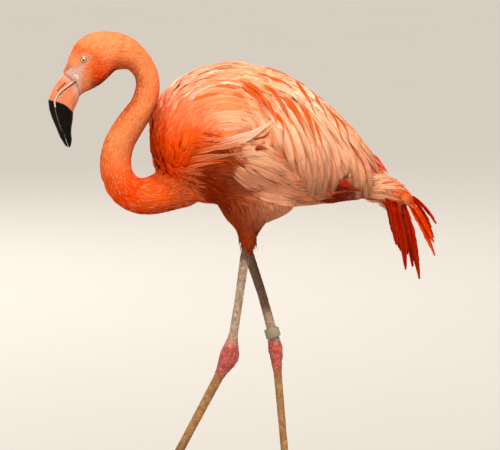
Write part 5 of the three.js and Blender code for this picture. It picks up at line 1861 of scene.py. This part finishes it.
def make_stage():
    """Pale floor, camera at the height of a standing viewer, and soft studio light."""
    settings = bpy.context.scene.flamingo_stage
    bpy.ops.object.select_all(action="DESELECT")
    bpy.ops.mesh.primitive_grid_add(x_subdivisions=8, y_subdivisions=8, size=90, location=(0, 20, 0))
    floor = bpy.context.object
    floor.name = floor.data.name = "floor"
    bpy.ops.object.transform_apply(location=True, rotation=True, scale=True)
    floor.data.materials.append(plain_finish("pale_floor", (0.73, 0.71, 0.68), 0.9))
    lowest, highest = CAD_BOX
    rise = settings.elevation
    aim = Vector(AIM)
    data = bpy.data.cameras.new("camera")
    data.lens = data.sensor_width * settings.distance / settings.view_width
    data.clip_end = 200
    camera = bpy.data.objects.new("camera", data)
    camera.location = aim + settings.distance * Vector((0, -math.cos(rise), math.sin(rise)))
    camera.rotation_euler = (math.pi / 2 - rise, 0, 0)
    bpy.context.collection.objects.link(camera)
    bpy.context.scene.camera = camera
    middle = (0, 0, (lowest.z + highest.z) / 2)
    aimed_light("sun", "SUN", (0.5, -1.3, 2.9), middle, 3.5, (1.0, 0.96, 0.91), angle=0.30)
    aimed_light("fill", "AREA", (-3.4, -3.2, 1.0), middle, 60, shape="DISK", size=3.0)
    aimed_light("back", "AREA", (-1.6, 3.4, 2.6), middle, 90, shape="DISK", size=2.6)
    world = bpy.data.worlds.new("studio")
    world.use_nodes = True
    sky = world.node_tree.nodes["Background"].inputs
    sky["Color"].default_value = (1.0, 0.965, 0.92, 1)
    sky["Strength"].default_value = 0.42
    bpy.context.scene.world = world
    bpy.context.scene.view_settings.view_transform = "Standard"


# ---------------------------------------------------------------- operators


class FLAMINGO_OT_skin(bpy.types.Operator):
    """Make the skin from the flesh solids, drawn in by the coat's depth"""

    bl_idname = "flamingo.skin"
    bl_label = "Skin"

    def execute(self, context):
        piece = make_skin()
        shape_lids(piece)
        skin = the_skin()
        bare = skin.bare[:, None]
        paint(piece.data, mix(skin.tone * np.array([0.97, 0.86, 0.76]), bare_tone(skin.places), bare))
        finish_smooth(piece, skin_finish(), tuple(COAT_DEPTHS))
        return {"FINISHED"}


class FLAMINGO_OT_head(bpy.types.Operator):
    """Make the bill, the eyes and the head's small feathers"""

    bl_idname = "flamingo.head"
    bl_label = "Head, bill and eyes"

    def execute(self, context):
        make_bill()
        make_eyes()
        make_head_coat()
        return {"FINISHED"}


class FLAMINGO_OT_neck(bpy.types.Operator):
    """Lay the neck's small feathers"""

    bl_idname = "flamingo.neck"
    bl_label = "Neck coat"

    def execute(self, context):
        make_neck_coat()
        return {"FINISHED"}


class FLAMINGO_OT_body(bpy.types.Operator):
    """Lay the contour feathers of the body and the thighs"""

    bl_idname = "flamingo.body"
    bl_label = "Body coat"

    def execute(self, context):
        make_body_coat()
        make_ruff()
        make_drawn_feathers()
        make_thigh_coat()
        return {"FINISHED"}


class FLAMINGO_OT_plumes(bpy.types.Operator):
    """Lay the long plumes over the wings, and the tail feathers"""

    bl_idname = "flamingo.plumes"
    bl_label = "Plumes and tail"

    def execute(self, context):
        make_plumes()
        make_tail()
        return {"FINISHED"}


class FLAMINGO_OT_legs(bpy.types.Operator):
    """Make the scaled legs, the claws and the leg band"""

    bl_idname = "flamingo.legs"
    bl_label = "Legs and band"

    def execute(self, context):
        make_legs()
        make_claws()
        make_band()
        return {"FINISHED"}


class FLAMINGO_OT_stage(bpy.types.Operator):
    """Set up the floor, the lights and the camera"""

    bl_idname = "flamingo.stage"
    bl_label = "Stage"

    def execute(self, context):
        make_stage()
        return {"FINISHED"}


class FLAMINGO_PT_panel(bpy.types.Panel):
    """Lists the flamingo's pieces and settings"""

    bl_idname = "FLAMINGO_PT_panel"
    bl_label = "Flamingo"
    bl_space_type = "VIEW_3D"
    bl_region_type = "UI"
    bl_category = "Flamingo"

    def draw(self, context):
        layout = self.layout
        for scene_name, kind in GROUPS.items():
            for name in kind.__annotations__:
                layout.prop(getattr(context.scene, scene_name), name)
        for operator in OPERATORS:
            layout.operator(operator.bl_idname)


GROUPS = {"flamingo_tints": FlamingoTints, "flamingo_coat": FlamingoCoat, "flamingo_stage": FlamingoStage}
OPERATORS = (
    FLAMINGO_OT_skin, FLAMINGO_OT_head, FLAMINGO_OT_neck, FLAMINGO_OT_body,
    FLAMINGO_OT_plumes, FLAMINGO_OT_legs, FLAMINGO_OT_stage,
)
CLASSES = (*GROUPS.values(), *OPERATORS, FLAMINGO_PT_panel)


def register():
    for item in CLASSES:
        bpy.utils.register_class(item)
    for name, group in GROUPS.items():
        setattr(bpy.types.Scene, name, PointerProperty(type=group))


def unregister():
    for name in GROUPS:
        delattr(bpy.types.Scene, name)
    for item in reversed(CLASSES):
        bpy.utils.unregister_class(item)


def main():
    """Builds every piece in order."""
    register()
    bpy.ops.flamingo.skin()
    bpy.ops.flamingo.head()
    bpy.ops.flamingo.neck()
    bpy.ops.flamingo.body()
    bpy.ops.flamingo.plumes()
    bpy.ops.flamingo.legs()
    bpy.ops.flamingo.stage()


if __name__ == "__main__":
    main()
